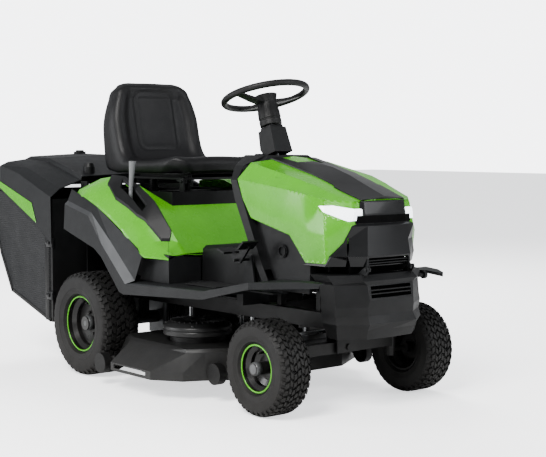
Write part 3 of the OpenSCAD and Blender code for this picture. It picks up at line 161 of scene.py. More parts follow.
def finish(name, colour, rough, grain, depth, spread=0.18, metal=0.0, coat=0.0, dust=0.0, pattern="NOISE",
           rough_spread=0.10, glow=0.0, stretch=(1, 1, 1), sheen=0.0, shine=0.5):
    """Material whose colour and gloss vary over the surface, with a fine grain and dust low down.

    grain is the number of grains in a metre, depth the bump's depth in metres.
    """
    made = bpy.data.materials.new(name)
    made.use_nodes = True
    tree = made.node_tree
    link = tree.links.new
    shader = tree.nodes["Principled BSDF"]
    for key, value in (("Metallic", metal), ("Coat Weight", coat), ("Coat Roughness", 0.08),
                       ("Sheen Weight", sheen), ("Specular IOR Level", shine)):
        shader.inputs[key].default_value = value
    place = node(tree, "ShaderNodeTexCoord", (-1400, 0)).outputs["Object"]
    mapping = node(tree, "ShaderNodeMapping", (-1200, 0), Scale=stretch)
    link(place, mapping.inputs["Vector"])
    patches = node(tree, "ShaderNodeTexNoise", (-1000, 260), Scale=9.0, Detail=5.0, Roughness=0.6)
    link(place, patches.inputs["Vector"])
    shades = node(tree, "ShaderNodeValToRGB", (-800, 260))
    low = tuple(c * (1 - spread) for c in colour)
    high = tuple(min(c * (1 + spread) + 0.002, 1) for c in colour)
    for stop, at, shade in zip(shades.color_ramp.elements, (0.3, 0.7), (low, high)):
        stop.position = at
        stop.color = (*shade, 1)
    link(patches.outputs["Fac"], shades.inputs["Fac"])
    colour_out = shades.outputs["Color"]
    if dust > 0:
        # Dry soil and clippings settle on what is near the ground
        split = node(tree, "ShaderNodeSeparateXYZ", (-1000, -60))
        link(place, split.inputs[0])
        height = node(tree, "ShaderNodeMapRange", (-800, -60),
                      From_Min=0.55, From_Max=0.02, To_Min=0.0, To_Max=dust)
        link(split.outputs["Z"], height.inputs["Value"])
        specks = node(tree, "ShaderNodeTexNoise", (-1000, -320), Scale=38.0, Detail=8.0, Roughness=0.7)
        link(place, specks.inputs["Vector"])
        amount = node(tree, "ShaderNodeMath", (-600, -160), operation="MULTIPLY")
        link(height.outputs["Result"], amount.inputs[0])
        link(specks.outputs["Fac"], amount.inputs[1])
        soiled = node(tree, "ShaderNodeMix", (-420, 160), data_type="RGBA")
        soiled.inputs[MIX_B].default_value = (0.16, 0.14, 0.11, 1)
        link(amount.outputs[0], soiled.inputs["Factor"])
        link(colour_out, soiled.inputs[MIX_A])
        colour_out = soiled.outputs[MIX_RESULT]
    gloss = node(tree, "ShaderNodeMapRange", (-600, 420),
                 To_Min=max(rough - rough_spread, 0.02), To_Max=min(rough + rough_spread, 1))
    smudges = node(tree, "ShaderNodeTexNoise", (-800, 520), Scale=24.0, Detail=6.0, Roughness=0.55)
    link(place, smudges.inputs["Vector"])
    link(smudges.outputs["Fac"], gloss.inputs["Value"])
    link(gloss.outputs["Result"], shader.inputs["Roughness"])
    bump = node(tree, "ShaderNodeBump", (-200, -240), Strength=1.0, Distance=depth)
    if pattern == "NOISE":
        fine = node(tree, "ShaderNodeTexNoise", (-600, -420), Scale=grain, Detail=3.0)
        height_out = fine.outputs["Fac"]
        link(mapping.outputs["Vector"], fine.inputs["Vector"])
    elif pattern == "LEATHER":
        fine = node(tree, "ShaderNodeTexVoronoi", (-600, -420), Scale=grain, feature="SMOOTH_F1", Smoothness=0.35)
        height_out = fine.outputs["Distance"]
        link(mapping.outputs["Vector"], fine.inputs["Vector"])
    else:
        # Two crossing sets of threads, darker in between
        over = node(tree, "ShaderNodeTexWave", (-800, -420), Scale=grain, bands_direction="X")
        under = node(tree, "ShaderNodeTexWave", (-800, -640), Scale=grain, bands_direction="Z")
        fine = node(tree, "ShaderNodeMath", (-600, -520), operation="MAXIMUM")
        for wave, end in ((over, 0), (under, 1)):
            link(mapping.outputs["Vector"], wave.inputs["Vector"])
            link(wave.outputs["Fac"], fine.inputs[end])
        height_out = fine.outputs[0]
        threads = node(tree, "ShaderNodeMix", (-240, 160), data_type="RGBA")
        threads.inputs[MIX_A].default_value = tuple(c * 0.2 for c in colour) + (1,)
        link(height_out, threads.inputs["Factor"])
        link(colour_out, threads.inputs[MIX_B])
        colour_out = threads.outputs[MIX_RESULT]
    link(colour_out, shader.inputs["Base Color"])
    link(height_out, bump.inputs["Height"])
    link(bump.outputs["Normal"], shader.inputs["Normal"])
    if glow > 0:
        shader.inputs["Emission Color"].default_value = (*colour, 1)
        shader.inputs["Emission Strength"].default_value = glow
    return made


def make_finishes(colours):
    """The finishes by slot name."""
    return {
        "green": finish("Green panel", colours.green, 0.27, 260, 0.00006, spread=0.06, coat=0.22, dust=0.03,
                        rough_spread=0.06, shine=0.4),
        "black_plastic": finish("Black plastic", colours.black, 0.44, 900, 0.00022, spread=0.16, dust=0.06,
                                shine=0.30),
        "dark_plastic": finish("Charcoal plastic", colours.charcoal, 0.50, 850, 0.00030, spread=0.14, dust=0.06,
                               shine=0.30),
        # Painted highlight for the footboards' upward-facing edge band
        "painted_edge_band": finish("Painted edge highlight", colours.edge_highlight_colour, 0.40, 850, 0.00020, spread=0.10, dust=0.05,
                               shine=0.40),
        "satin_black": finish("Satin black trim", colours.black, 0.32, 500, 0.00006, spread=0.12, coat=0.10,
                              rough_spread=0.06, shine=0.30),
        "black_steel": finish("Black powder coat", colours.black, 0.42, 420, 0.00012, spread=0.2, dust=0.10,
                              shine=0.35),
        "deck_steel": finish("Deck powder coat", colours.charcoal, 0.40, 380, 0.00014, spread=0.16, dust=0.12,
                             shine=0.45),
        "bare_steel": finish("Bright steel", colours.steel, 0.30, 240, 0.00008, spread=0.10, metal=1.0,
                             stretch=(1, 1, 0.08)),
        "cast_housing": finish("Cast aluminium", (0.15, 0.155, 0.16), 0.48, 700, 0.0004, metal=0.9, dust=0.15),
        "tyre": finish("Tyre rubber", colours.rubber, 0.62, 620, 0.00035, spread=0.22, dust=0.09, shine=0.35),
        "mat_rubber": finish("Mat rubber", (0.010, 0.010, 0.011), 0.62, 520, 0.0003, dust=0.08, shine=0.30),
        "rim": finish("Rim paint", (0.0075, 0.0075, 0.0080), 0.30, 300, 0.00006, coat=0.15, dust=0.08),
        "vinyl": finish("Seat vinyl", colours.vinyl, 0.42, 620, 0.00035, spread=0.12, pattern="LEATHER",
                        rough_spread=0.08, shine=0.35),
        "grip": finish("Grip rubber", (0.0095, 0.0095, 0.0100), 0.46, 760, 0.0003, pattern="LEATHER", shine=0.35),
        "lamp": finish("Headlight lens", colours.lamp, 0.10, 90, 0.0004, spread=0.05, coat=0.8, glow=1.6,
                       stretch=(0.4, 2.2, 2.2), rough_spread=0.04),
        "bag_mesh": finish("Bag mesh", (0.020, 0.021, 0.023), 0.62, 34, 0.0014, pattern="WEAVE", spread=0.15,
                           sheen=0.05, shine=0.25),
        # Near black, for the painted shade in the hollows behind the grilles and in the nose recess
        "painted_shade": finish("Slot shadow", (0.0022, 0.0022, 0.0024), 0.85, 300, 0.0002, shine=0.1),
        "lever_grip": finish("Lever grip", (0.13, 0.134, 0.138), 0.46, 700, 0.0002, spread=0.1),
        "yellow": finish("Yellow button", (0.62, 0.38, 0.015), 0.32, 400, 0.0001, spread=0.06, coat=0.3),
        "display": finish("Instrument panel", (0.012, 0.013, 0.015), 0.20, 500, 0.00006, spread=0.12, coat=0.4),
        "cap_grey": finish("Hub cap grey", (0.085, 0.088, 0.092), 0.36, 500, 0.0001, spread=0.1, dust=0.1),
    }


FINISH = {}


# ---- Mesh work ----

def place_piece(name, bm, body, slot, look=None, merge=0.0, smooth=True, recalc=True):
    """Makes an object at the origin from the mesh and lets it ride on its body."""
    if merge:
        bmesh.ops.remove_doubles(bm, verts=bm.verts, dist=merge)
    if recalc:
        bmesh.ops.recalc_face_normals(bm, faces=bm.faces)
    mesh = bpy.data.meshes.new(name)
    bm.to_mesh(mesh)
    bm.free()
    if smooth:
        mesh.shade_smooth()
    made = bpy.data.objects.new(name, mesh)
    bpy.context.scene.collection.objects.link(made)
    made.data.materials.append(FINISH[look or slot])
    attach(made, body)
    return made


def soften(made, width, segments=2, angle=20):
    """Rounds the edges sharper than angle and keeps the flats flat."""
    edge = made.modifiers.new("Edges", "BEVEL")
    edge.width = width
    edge.segments = segments
    edge.limit_method = "ANGLE"
    edge.angle_limit = math.radians(angle)
    edge.harden_normals = True
    flats = made.modifiers.new("Flats", "WEIGHTED_NORMAL")
    flats.keep_sharp = True
    return made


def relax(bm, sharp=18, spacing=0.018, rounds=14):
    """Blends the folds flatter than sharp, so that a panel's facets run into each other."""
    bmesh.ops.triangulate(bm, faces=bm.faces)
    for _ in range(6):
        long = [e for e in bm.edges if e.calc_length() > spacing]
        if not long:
            break
        bmesh.ops.subdivide_edges(bm, edges=long, cuts=1)
        bmesh.ops.triangulate(bm, faces=[f for f in bm.faces if len(f.verts) > 3])
    bm.normal_update()
    held = set()
    for edge in bm.edges:
        if len(edge.link_faces) != 2 or edge.calc_face_angle(0.0) > math.radians(sharp):
            held.update(edge.verts)
    free = [v for v in bm.verts if v not in held]
    for _ in range(rounds):
        bmesh.ops.smooth_vert(bm, verts=free, factor=0.5, use_axis_x=True, use_axis_y=True, use_axis_z=True)


def copied_panel(cad, width, segments=3, angle=14, look=None, flat=1.2, blend=False):
    """A copy of a CAD node with merged faces and rounded edges, which stands for the node."""
    bm = bmesh.new()
    bm.from_mesh(NODES[cad].data)
    bmesh.ops.remove_doubles(bm, verts=bm.verts, dist=WELD)
    bmesh.ops.dissolve_limit(bm, angle_limit=math.radians(flat), verts=bm.verts, edges=bm.edges)
    if blend:
        relax(bm)
    made = place_piece(cad + "_panel", bm, BODY[cad], SLOT[cad], look, recalc=False)
    made.data.validate()
    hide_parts(cad)
    return soften(made, width, segments, angle)


def spun(bm, profile, centre, axis="Y", steps=96):
    """Adds a solid of revolution; profile is a closed list of (along the axis, radius)."""
    made = []
    for along, radius in profile:
        at = {"Y": (radius, along, 0), "Z": (radius, 0, along), "X": (along, 0, radius)}[axis]
        made.append(bm.verts.new(Vector(at) + centre))
    edges = [bm.edges.new((made[k], made[(k + 1) % len(made)])) for k in range(len(made))]
    turn = {"Y": Vector((0, 1, 0)), "Z": Vector((0, 0, 1)), "X": Vector((1, 0, 0))}[axis]
    bmesh.ops.spin(bm, geom=made + edges, cent=centre, axis=turn, angle=TAU, steps=steps, use_merge=True)


def block(bm, centre, size, turn=None, edge=0.0):
    """Adds a box with its edges rounded where edge is given."""
    made = bmesh.ops.create_cube(bm, size=1.0)["verts"]
    bmesh.ops.scale(bm, vec=size, verts=made)
    if edge:
        edges = list({e for v in made for e in v.link_edges})
        cut = bmesh.ops.bevel(bm, geom=edges, offset=edge, affect="EDGES", segments=2, profile=0.5, material=-1)
        made = list({v for v in made if v.is_valid} | set(cut["verts"]))
    if turn is not None:
        bmesh.ops.transform(bm, matrix=turn.to_4x4(), verts=made)
    bmesh.ops.translate(bm, vec=centre, verts=made)


# ---- Operators ----

class MOWER_OT_stage(bpy.types.Operator):
    """Adds the floor, the soft lights and the camera"""
    bl_idname = "mower.stage"
    bl_label = "Stage"

    def execute(self, context):
        bm = bmesh.new()
        bmesh.ops.create_grid(bm, x_segments=8, y_segments=8, size=30.0)
        mesh = bpy.data.meshes.new("floor")
        bm.to_mesh(mesh)
        bm.free()
        floor = bpy.data.objects.new("floor", mesh)
        context.scene.collection.objects.link(floor)
        pale = finish("Pale floor", (0.93, 0.93, 0.93), 0.85, 60, 0.0002, spread=0.006, shine=0.1)
        floor.data.materials.append(pale)
        # The floor is seen a little brighter than it lights the mower
        tree = pale.node_tree
        seen = node(tree, "ShaderNodeLightPath", (-400, 700))
        glow = node(tree, "ShaderNodeMath", (-200, 700), operation="MULTIPLY")
        glow.inputs[1].default_value = 0.9
        shader = tree.nodes["Principled BSDF"]
        tree.links.new(seen.outputs["Is Camera Ray"], glow.inputs[0])
        tree.links.new(glow.outputs[0], shader.inputs["Emission Strength"])
        shader.inputs["Emission Color"].default_value = SKY_WHITE
        world = bpy.data.worlds.new("soft sky")
        context.scene.world = world
        world.use_nodes = True
        sky = world.node_tree
        back = sky.nodes["Background"]
        back.inputs["Color"].default_value = SKY_WHITE
        # So is the backdrop
        seen = node(sky, "ShaderNodeLightPath", (-600, 200))
        level = node(sky, "ShaderNodeMapRange", (-300, 100), To_Min=0.50, To_Max=3.2)
        sky.links.new(seen.outputs["Is Camera Ray"], level.inputs["Value"])
        sky.links.new(level.outputs["Result"], back.inputs["Strength"])
        aim = Vector((0.1, 0, 0.6))
        for name, at, size, power, tint, glossy in (
                ("key light", (2.6, -4.4, 4.6), 2.2, 430, (1.0, 0.99, 0.97), True),
                ("fill light", (5.6, 2.4, 2.6), 2.6, 120, (0.96, 0.98, 1.0), True),
                ("back light", (-3.6, 2.4, 4.2), 2.8, 260, (1.0, 1.0, 1.0), False),
                ("side light", (-2.6, -4.4, 1.6), 2.0, 90, (0.98, 0.99, 1.0), True)):
            lamp = bpy.data.lights.new(name, "AREA")
            lamp.size = size
            lamp.energy = power
            lamp.color = tint
            made = bpy.data.objects.new(name, lamp)
            context.scene.collection.objects.link(made)
            made.location = at
            made.visible_glossy = glossy
            made.rotation_euler = (aim - Vector(at)).to_track_quat("-Z", "Y").to_euler()
        eye = bpy.data.cameras.new("camera")
        camera = bpy.data.objects.new("camera", eye)
        context.scene.collection.objects.link(camera)
        camera.location = (4.565, -3.345, 1.017)
        ahead = Vector((-0.7571, 0.6501, -0.0645))
        camera.rotation_euler = ahead.to_track_quat("-Z", "Y").to_euler()
        eye.sensor_width, eye.lens = 36, 83.70
        eye.shift_x, eye.shift_y = -0.0474, -0.00725
        eye.clip_start, eye.clip_end = 0.05, 80
        context.scene.camera = camera
        context.scene.view_settings.look = "AgX - Medium High Contrast"
        return {"FINISHED"}


class MOWER_OT_finishes(bpy.types.Operator):
    """Makes the finishes and puts them on every node of the frame"""
    bl_idname = "mower.finishes"
    bl_label = "Finishes"

    def execute(self, context):
        FINISH.update(make_finishes(context.scene.mower_colours))
        for name, made in NODES.items():
            made.data.materials.clear()
            made.data.materials.append(FINISH[SLOT[name]])
        return {"FINISHED"}


class MOWER_OT_panels(bpy.types.Operator):
    """Gives the moulded panels and small parts their rounded edges"""
    bl_idname = "mower.panels"
    bl_label = "Panels"

    def execute(self, context):
        sizes = context.scene.mower_sizes
        small = sizes.small_edge
        for cad in ("hood_shell", "rear_cover"):
            copied_panel(cad, sizes.panel_edge, 2, 30, blend=True)
        copied_panel("hood_strip", 0.0022, 2, 12, look="satin_black")
        copied_panel("hood_grille", 0.003, 2, 14, look="satin_black")
        copied_panel("bumper", 0.0035, 2, 12)
        copied_panel("dash_tower", 0.004, 2, 12)
        copied_panel("lever_consoles", 0.0022, 2, 14, look="satin_black")
        copied_panel("catcher_cover", 0.006, 2, 8)
        copied_panel("catcher_stripes", 0.0012, 1, 20)
        for cad in ("tunnel_cover", "column_cover", "seat_box", "rear_panel", "foot_mats", "dash_panel", "frame",
                    "drive_pedal", "brake_pedal", "seat_frame", "catcher_frame", "front_axle_beam", "battery_pack",
                    "deck_shell", "discharge_chute", "key_switch", "height_lever", "seat_shell"):
            copied_panel(cad, small, 2, 30)
        return {"FINISHED"}


class MOWER_OT_fittings(bpy.types.Operator):
    """Adds the steering boot, and dark sheets behind the grilles and across the nose as painted shade"""
    bl_idname = "mower.fittings"
    bl_label = "Fittings"

    def execute(self, context):
        foot = joint_point("steering_wheel_turn")
        axis = Vector(JOINT["steering_wheel_turn"]["axis"])
        lean = Vector((0, 0, 1)).rotation_difference(axis).to_matrix().to_4x4()
        bm = bmesh.new()
        rings = [(0.1085, 0.043), (0.1110, 0.0455), (0.132, 0.0462), (0.134, 0.0440), (0.138, 0.0440),
                 (0.140, 0.0465), (0.168, 0.0455), (0.186, 0.0425), (0.206, 0.0400), (0.222, 0.0400)]
        bore = 0.0112
        spun(bm, rings + [(rings[-1][0], bore), (rings[0][0], bore)], Vector((0, 0, 0)), axis="Z", steps=64)
        bmesh.ops.transform(bm, matrix=Matrix.Translation(foot) @ lean, verts=bm.verts)
        soften(place_piece("steering_boot", bm, "steering", "grip", merge=FINE_WELD), 0.001, 2, 30)
        # Painted shade: dark sheets behind the grilles stand in for the shade in the hollows there
        for name, cad, at, size in (("hood_shade_sheet", "hood_grille", (1.1690, 0, 0.576), (0.003, 0.200, 0.040)),
                                    ("bumper_shade_sheet", "bumper", (1.1770, 0, 0.464), (0.003, 0.212, 0.054)),
                                    ("nose_shade_sheet", "bumper", (1.1340, 0, 0.5515), (0.003, 0.310, 0.045))):
            bm = bmesh.new()
            block(bm, Vector(at), size, None, 0.0008)
            place_piece(name, bm, BODY[cad], "black_plastic", look="painted_shade", smooth=False)
        # Painted shade: a dark sheet across the nose, in the grille's upper recess
        bm = bmesh.new()
        nose = [(1.1525, -0.1535), (1.1685, -0.1045), (1.1760, 0.0), (1.1685, 0.1045), (1.1525, 0.1535)]
        rows = [[bm.verts.new((x + out, y, z)) for x, y in nose] for z in (0.7185, 0.7465) for out in (0.0, 0.0012)]
        low_in, low_out, top_in, top_out = rows
        for a, b in ((low_in, low_out), (low_out, top_out), (top_out, top_in), (top_in, low_in)):
            for k in range(4):
                bm.faces.new((a[k], a[k + 1], b[k + 1], b[k]))
        for k in (0, 4):
            bm.faces.new((low_in[k], low_out[k], top_out[k], top_in[k]))
        place_piece("nose_recess_shade", bm, BODY["hood_grille"], "black_plastic", look="painted_shade", smooth=False)
        return {"FINISHED"}


def crown(y, width, radius, rim):
    """Radius of a tyre's outer surface at a distance from its centre plane."""
    y = abs(y)
    stops = [(0.0, radius), (TREAD_EDGE * width, radius), (SHOULDER * width, radius - SHOULDER_DROP),
             (0.485 * width, radius - 0.22 * (radius - rim)), (0.5 * width, rim + 0.56 * (radius - rim))]
    for (y0, r0), (y1, r1) in zip(stops, stops[1:]):
        if y <= y1:
            return r0 + (r1 - r0) * (y - y0) / (y1 - y0)
    return stops[-1][1]


def tread_block(bm, centre, angle, span, skew, y0, y1, width, radius, rim, depth):
    """One tread block: an outline on the carcass, raised to the tyre's outer surface."""
    line = [(y0, 0.0), ((y0 + y1) / 2, skew / 2), (y1, skew)]
    outline = [(angle - span / 2 + shift, y) for y, shift in line]
    outline += [(angle + span / 2 + shift, y) for y, shift in reversed(line)]
    foot = []
    for turn, y in outline:
        low = crown(y, width, radius, rim) - depth - TREAD_SINK
        foot.append(bm.verts.new(centre + Vector((low * math.cos(turn), y, low * math.sin(turn)))))
    base = bm.faces.new(foot)
    top = bmesh.ops.extrude_face_region(bm, geom=[base], use_keep_orig=True)["geom"]
    mid_turn = angle + skew / 2
    mid_y = (y0 + y1) / 2
    for vert, (turn, y) in zip([v for v in top if isinstance(v, bmesh.types.BMVert)], outline):
        turn = mid_turn + (turn - mid_turn) * 0.9
        y = mid_y + (y - mid_y) * 0.92
        high = crown(y, width, radius, rim)
        vert.co = centre + Vector((high * math.cos(turn), y, high * math.sin(turn)))


class MOWER_OT_tyres(bpy.types.Operator):
    """Makes the four tyres with their ribbed sidewalls and turf blocks"""
    bl_idname = "mower.tyres"
    bl_label = "Tyres"

    def execute(self, context):
        sizes = context.scene.mower_sizes
        depth = sizes.tread_depth
        for end, count in (("front", sizes.front_blocks), ("rear", sizes.rear_blocks)):
            width, radius, rim = WHEELS[end]
            for hand, sign in (("right", 1), ("left", -1)):
                cad = f"{end}_tyre_{hand}"
                centre = joint_point(f"{end}_wheel_{hand}_spin")
                bm = bmesh.new()
                # Half of the carcass, from the bead over the ribbed sidewall to the tread's floor
                side = [(BEAD * width - 0.001, rim + 0.0006), (BEAD * width - 0.001, rim + 0.006),
                        (0.43 * width, rim + 0.012), (0.446 * width, rim + 0.014), (0.449 * width, rim + 0.019),
                        (0.455 * width, rim + 0.021), (0.478 * width, rim + 0.34 * (radius - rim)),
                        (0.488 * width, rim + 0.36 * (radius - rim)), (0.491 * width, rim + 0.40 * (radius - rim)),
                        (0.486 * width, rim + 0.42 * (radius - rim)), (0.492 * width, rim + 0.56 * (radius - rim)),
                        (0.484 * width, radius - 0.26 * (radius - rim)), (0.462 * width, radius - 0.020),
                        (SHOULDER * width, radius - SHOULDER_DROP - depth), (TREAD_EDGE * width, radius - depth),
                        (0.12 * width, radius - depth)]
                profile = side + [(-along, out) for along, out in reversed(side)]
                spun(bm, profile, centre)
                bmesh.ops.remove_doubles(bm, verts=bm.verts, dist=WELD)
                bmesh.ops.recalc_face_normals(bm, faces=bm.faces)
                pitch = TAU / count
                # Rows of blocks: start, span and skew as shares of the pitch, both edges as shares of the width
                rows = [(0, 0.70, 0.20, -0.050, 0.050), (0.5, 0.70, -0.30, 0.070, 0.165),
                        (0.5, 0.70, 0.30, -0.165, -0.070), (0, 0.70, 0.30, 0.185, 0.280),
                        (0, 0.70, -0.30, -0.280, -0.185), (0.5, 0.66, -0.20, 0.300, 0.392),
                        (0.5, 0.66, 0.20, -0.392, -0.300),
                        (0, 0.52, 0.10, 0.408, 0.474), (0, 0.52, -0.10, -0.474, -0.408)]
                for k in range(count):
                    for start, span, skew, y0, y1 in rows:
                        tread_block(bm, centre, k * pitch + start * pitch, span * pitch, skew * pitch,
                                    y0 * width * sign, y1 * width * sign, width, radius, rim, depth)
                bmesh.ops.recalc_face_normals(bm, faces=bm.faces)
                made = place_piece(cad + "_rubber", bm, BODY[cad], "tyre", recalc=False)
                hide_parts(cad)
                soften(made, 0.0009, 1, 32)
        return {"FINISHED"}


class MOWER_OT_rims(bpy.types.Operator):
    """Adds the green rim rings, the hub caps and the valves"""
    bl_idname = "mower.rims"
    bl_label = "Rims"

    def execute(self, context):
        for end, cap, reach in (("front", 0.026, 0.0722), ("rear", 0.032, 0.052)):
            width, _, rim = WHEELS[end]
            for hand, out in (("right", -1), ("left", 1)):
                body = BODY[f"{end}_rim_{hand}"]
                centre = joint_point(f"{end}_wheel_{hand}_spin")
                face = (BEAD * width + 0.003) * out
                bm = bmesh.new()
                spun(bm, [(face - 0.002 * out, rim - 0.0036), (face + 0.0010 * out, rim - 0.0032),
                          (face + 0.0018 * out, rim), (face + 0.0010 * out, rim + 0.0038),
                          (face - 0.002 * out, rim + 0.0044)], centre)
                place_piece(f"{end}_rim_ring_{hand}", bm, body, "green", merge=WELD)
                bm = bmesh.new()
                tip = reach * out
                spun(bm, [(tip - 0.026 * out, 0.0), (tip - 0.026 * out, cap), (tip - 0.008 * out, cap),
                          (tip - 0.002 * out, cap * 0.90), (tip + 0.0010 * out, cap * 0.62),
                          (tip + 0.0004 * out, cap * 0.5), (tip + 0.0022 * out, cap * 0.3), (tip + 0.0026 * out, 0.0)],
                     centre, steps=64)
                place_piece(f"{end}_hub_cap_{hand}", bm, body, "rim", look="cap_grey", merge=WELD)
                # Valve stem through the rim's disc, with its cap
                bm = bmesh.new()
                stem = centre + Vector((0, 0, rim - 0.030))
                spun(bm, [(0.018 * out, 0.0), (0.018 * out, 0.0045), (0.034 * out, 0.0040), (0.034 * out, 0.0052),
                          (0.046 * out, 0.0050), (0.047 * out, 0.0040), (0.047 * out, 0.0)], stem, steps=20)
                place_piece(f"{end}_valve_{hand}", bm, body, "tyre", merge=FINE_WELD)
        return {"FINISHED"}


def line_stretch(points, share):
    """Which stretch of a polyline a share of its length falls on, and how far along that stretch."""
    lengths = [0.0]
    for a, b in zip(points, points[1:]):
        lengths.append(lengths[-1] + (Vector(b) - Vector(a)).length)
    want = share * lengths[-1]
    k = next((k for k in range(len(points) - 2) if want <= lengths[k + 1]), len(points) - 2)
    return k, (want - lengths[k]) / (lengths[k + 1] - lengths[k])


def along_line(points, share):
    """The point at a share of a polyline's length, on a smooth curve through its points."""
    k, t = line_stretch(points, share)
    p0 = Vector(points[max(k - 1, 0)])
    p1, p2 = Vector(points[k]), Vector(points[k + 1])
    p3 = Vector(points[min(k + 2, len(points) - 1)])
    return 0.5 * (2 * p1 + (p2 - p0) * t + (2 * p0 - 5 * p1 + 4 * p2 - p3) * t * t
                  + (3 * p1 - p0 - 3 * p2 + p3) * t * t * t)


def straight(points, share):
    """The point at a share of a polyline's length."""
    k, t = line_stretch(points, share)
    return Vector(points[k]).lerp(Vector(points[k + 1]), t)


def eased(value, low, high):
    """0 below low and 1 above high, with a smooth step in between."""
    t = min(max((value - low) / (high - low), 0.0), 1.0)
    return t * t * (3 - 2 * t)


class MOWER_OT_seat(bpy.types.Operator):
    """Makes the moulded seat with its bolsters, channels and back panel"""
    bl_idname = "mower.seat"
    bl_label = "Seat"

    def execute(self, context):
        bolster = context.scene.mower_sizes.seat_bolster
        low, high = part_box("seat_cushion")
        front, pan, top = high.x, low.z, high.z
        half = high.y
        # Face the driver touches, and the underside and rear behind it, from the front lip to the top
        face = [(front - 0.006, pan + 0.010), (front, pan + 0.040), (front - 0.016, pan + 0.064),
                (front - 0.060, pan + 0.072), (front - 0.170, pan + 0.060), (front - 0.345, pan + 0.058),
                (front - 0.405, pan + 0.076), (front - 0.442, pan + 0.132), (front - 0.470, pan + 0.240),
                (front - 0.494, top - 0.055), (front - 0.510, top - 0.016), (front - 0.538, top)]
        rear = [(front - 0.020, pan), (front - 0.060, pan), (front - 0.110, pan), (front - 0.170, pan),
                (front - 0.260, pan), (front - 0.400, pan), (front - 0.500, pan + 0.002),
                (front - 0.560, pan + 0.030), (front - 0.583, pan + 0.160), (front - 0.585, top - 0.080),
                (front - 0.576, top - 0.026), (front - 0.550, top - 0.002)]
        length = sum((Vector(b) - Vector(a)).length for a, b in zip(face, face[1:]))
        bm = bmesh.new()
        bmesh.ops.create_grid(bm, x_segments=SEAT_LENGTH_CELLS, y_segments=SEAT_WIDTH_CELLS, size=1.0)
        for vert in bm.verts:
            vert.co.z = 1.0
        raised = bmesh.ops.extrude_face_region(bm, geom=list(bm.faces), use_keep_orig=True)["geom"]
        for vert in (v for v in raised if isinstance(v, bmesh.types.BMVert)):
            vert.co.z = -1.0
        walls = [e for e in bm.edges if abs(e.verts[0].co.z - e.verts[1].co.z) > 1.5]
        bmesh.ops.subdivide_edges(bm, edges=walls, cuts=7, use_grid_fill=True)
        # Places along the face from the lip, and the back panel's half length, half width and corner radius
        channels = (0.160, 0.235, 0.310)
        panel_middle, panel_length, panel_width, corner = 0.625, 0.128, 0.108, 0.035
        # a runs along the seat from the lip, b across it, and c from the underside at -1 to the face at 1
        for vert in bm.verts:
            a, b, c = (vert.co.x + 1) / 2, vert.co.y, vert.co.z
            share = min(max(a, 0.0), 1.0)
            f2, r2 = along_line(face, share), along_line(rear, share)
            through = f2 - r2
            out = through.normalized()
            s = share * length
            wide = half * (1.0 - 0.20 * eased(s, 0.62, length)) * (0.90 + 0.10 * eased(s, 0.0, 0.09))
            edge = abs(b)
            # Rounded corners at the lip and at the top of the back
            ends = max(1 - s / 0.10, 0.0) ** 2 + max(1 - (length - s) / 0.075, 0.0) ** 2
            wide *= 1.0 - 0.26 * ends
            # The middle is let in between the side bolsters
            inner = 1.0 - eased(edge, 0.62, 0.82)
            lift = -bolster * inner * eased(s, 0.05, 0.13) * (1 - eased(s, length - 0.10, length - 0.03))
            # Sides roll over
            roll = max((edge - 0.84) / 0.16, 0.0)
            lift -= 0.034 * (1 - math.sqrt(max(1 - roll * roll, 0.0)))
            lift += 0.005 * inner * math.cos(min(edge / 0.52, 1.0) * math.pi / 2)
            # Channels across the seat and up the back
            for at in channels:
                lift -= 0.0055 * math.exp(-((s - at) / 0.0065) ** 2) * (1 - eased(edge, 0.46, 0.54))
            # Rounded panel let into the back
            dx = abs(s - panel_middle) - (panel_length - corner)
            dy = edge * wide - (panel_width - corner)
            away = math.hypot(max(dx, 0), max(dy, 0)) + min(max(dx, dy), 0) - corner
            lift -= 0.0042 * math.exp(-(away / 0.0075) ** 2)
            lift -= 0.002 * (1 - eased(away, -0.03, 0.0))
            # Thigh rolls
            lift += 0.006 * math.exp(-((s - 0.10) / 0.045) ** 2) * inner
            depth = (c + 1) / 2
            point = r2 + through * depth + out * lift * eased(depth, 0.0, 1.0)
            side = b * wide * (1 - 0.035 * (1 - depth) - 0.018 * (2 * depth - 1) ** 4)
            vert.co = Vector((point.x, side, point.y))
        made = place_piece("seat_pad", bm, "seat", "vinyl")
        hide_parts("seat_cushion")
        return {"FINISHED"}


class MOWER_OT_deck_motors(bpy.types.Operator):
    """Makes the finned covers of the blade motors"""
    bl_idname = "mower.deck_motors"
    bl_label = "Blade motors"

    def execute(self, context):
        low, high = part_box("blade_motors")
        top = high.z
        bm = bmesh.new()
        for hand in ("right", "left"):
            spindle = joint_point(f"blade_{hand}_spin")
            centre = Vector((spindle.x, spindle.y, 0))
            spun(bm, [(low.z, 0.0127), (low.z, 0.0215), (0.2053, 0.0215), (0.2053, 0.115), (0.2290, 0.115),
                      (0.2295, 0.139), (0.2330, 0.1420), (0.2480, 0.1420), (0.2500, 0.1395), (0.2530, 0.1395),
                      (0.2550, 0.1420), (0.2640, 0.1420), (0.2700, 0.1390), (top - 0.010, 0.120),
                      (top - 0.005, 0.112), (top - 0.005, 0.064), (top - 0.001, 0.060), (top - 0.001, 0.030),
                      (top - 0.006, 0.027), (top - 0.006, 0.0), (0.2560, 0.0), (0.2560, 0.0127)],
                 centre, axis="Z", steps=96)
            for k in range(MOTOR_FINS):
                turn = Matrix.Rotation(k * TAU / MOTOR_FINS, 3, "Z")
                block(bm, centre + turn @ Vector((0.089, 0, top - 0.0045)), (0.050, 0.0045, 0.008), turn, 0.0009)
            for k in range(4):
                at = centre + Matrix.Rotation((k + 0.5) * TAU / 4, 3, "Z") @ Vector((0.130, 0, 0))
                spun(bm, [(0.262, 0.0), (0.262, 0.0075), (0.2775, 0.0072), (0.2785, 0.006), (0.2785, 0.0)], at,
                     axis="Z", steps=6)
        made = place_piece("motor_covers", bm, "deck", "deck_steel", merge=WELD)
        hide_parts("blade_motors")
        soften(made, 0.0008, 1, 40)
        return {"FINISHED"}


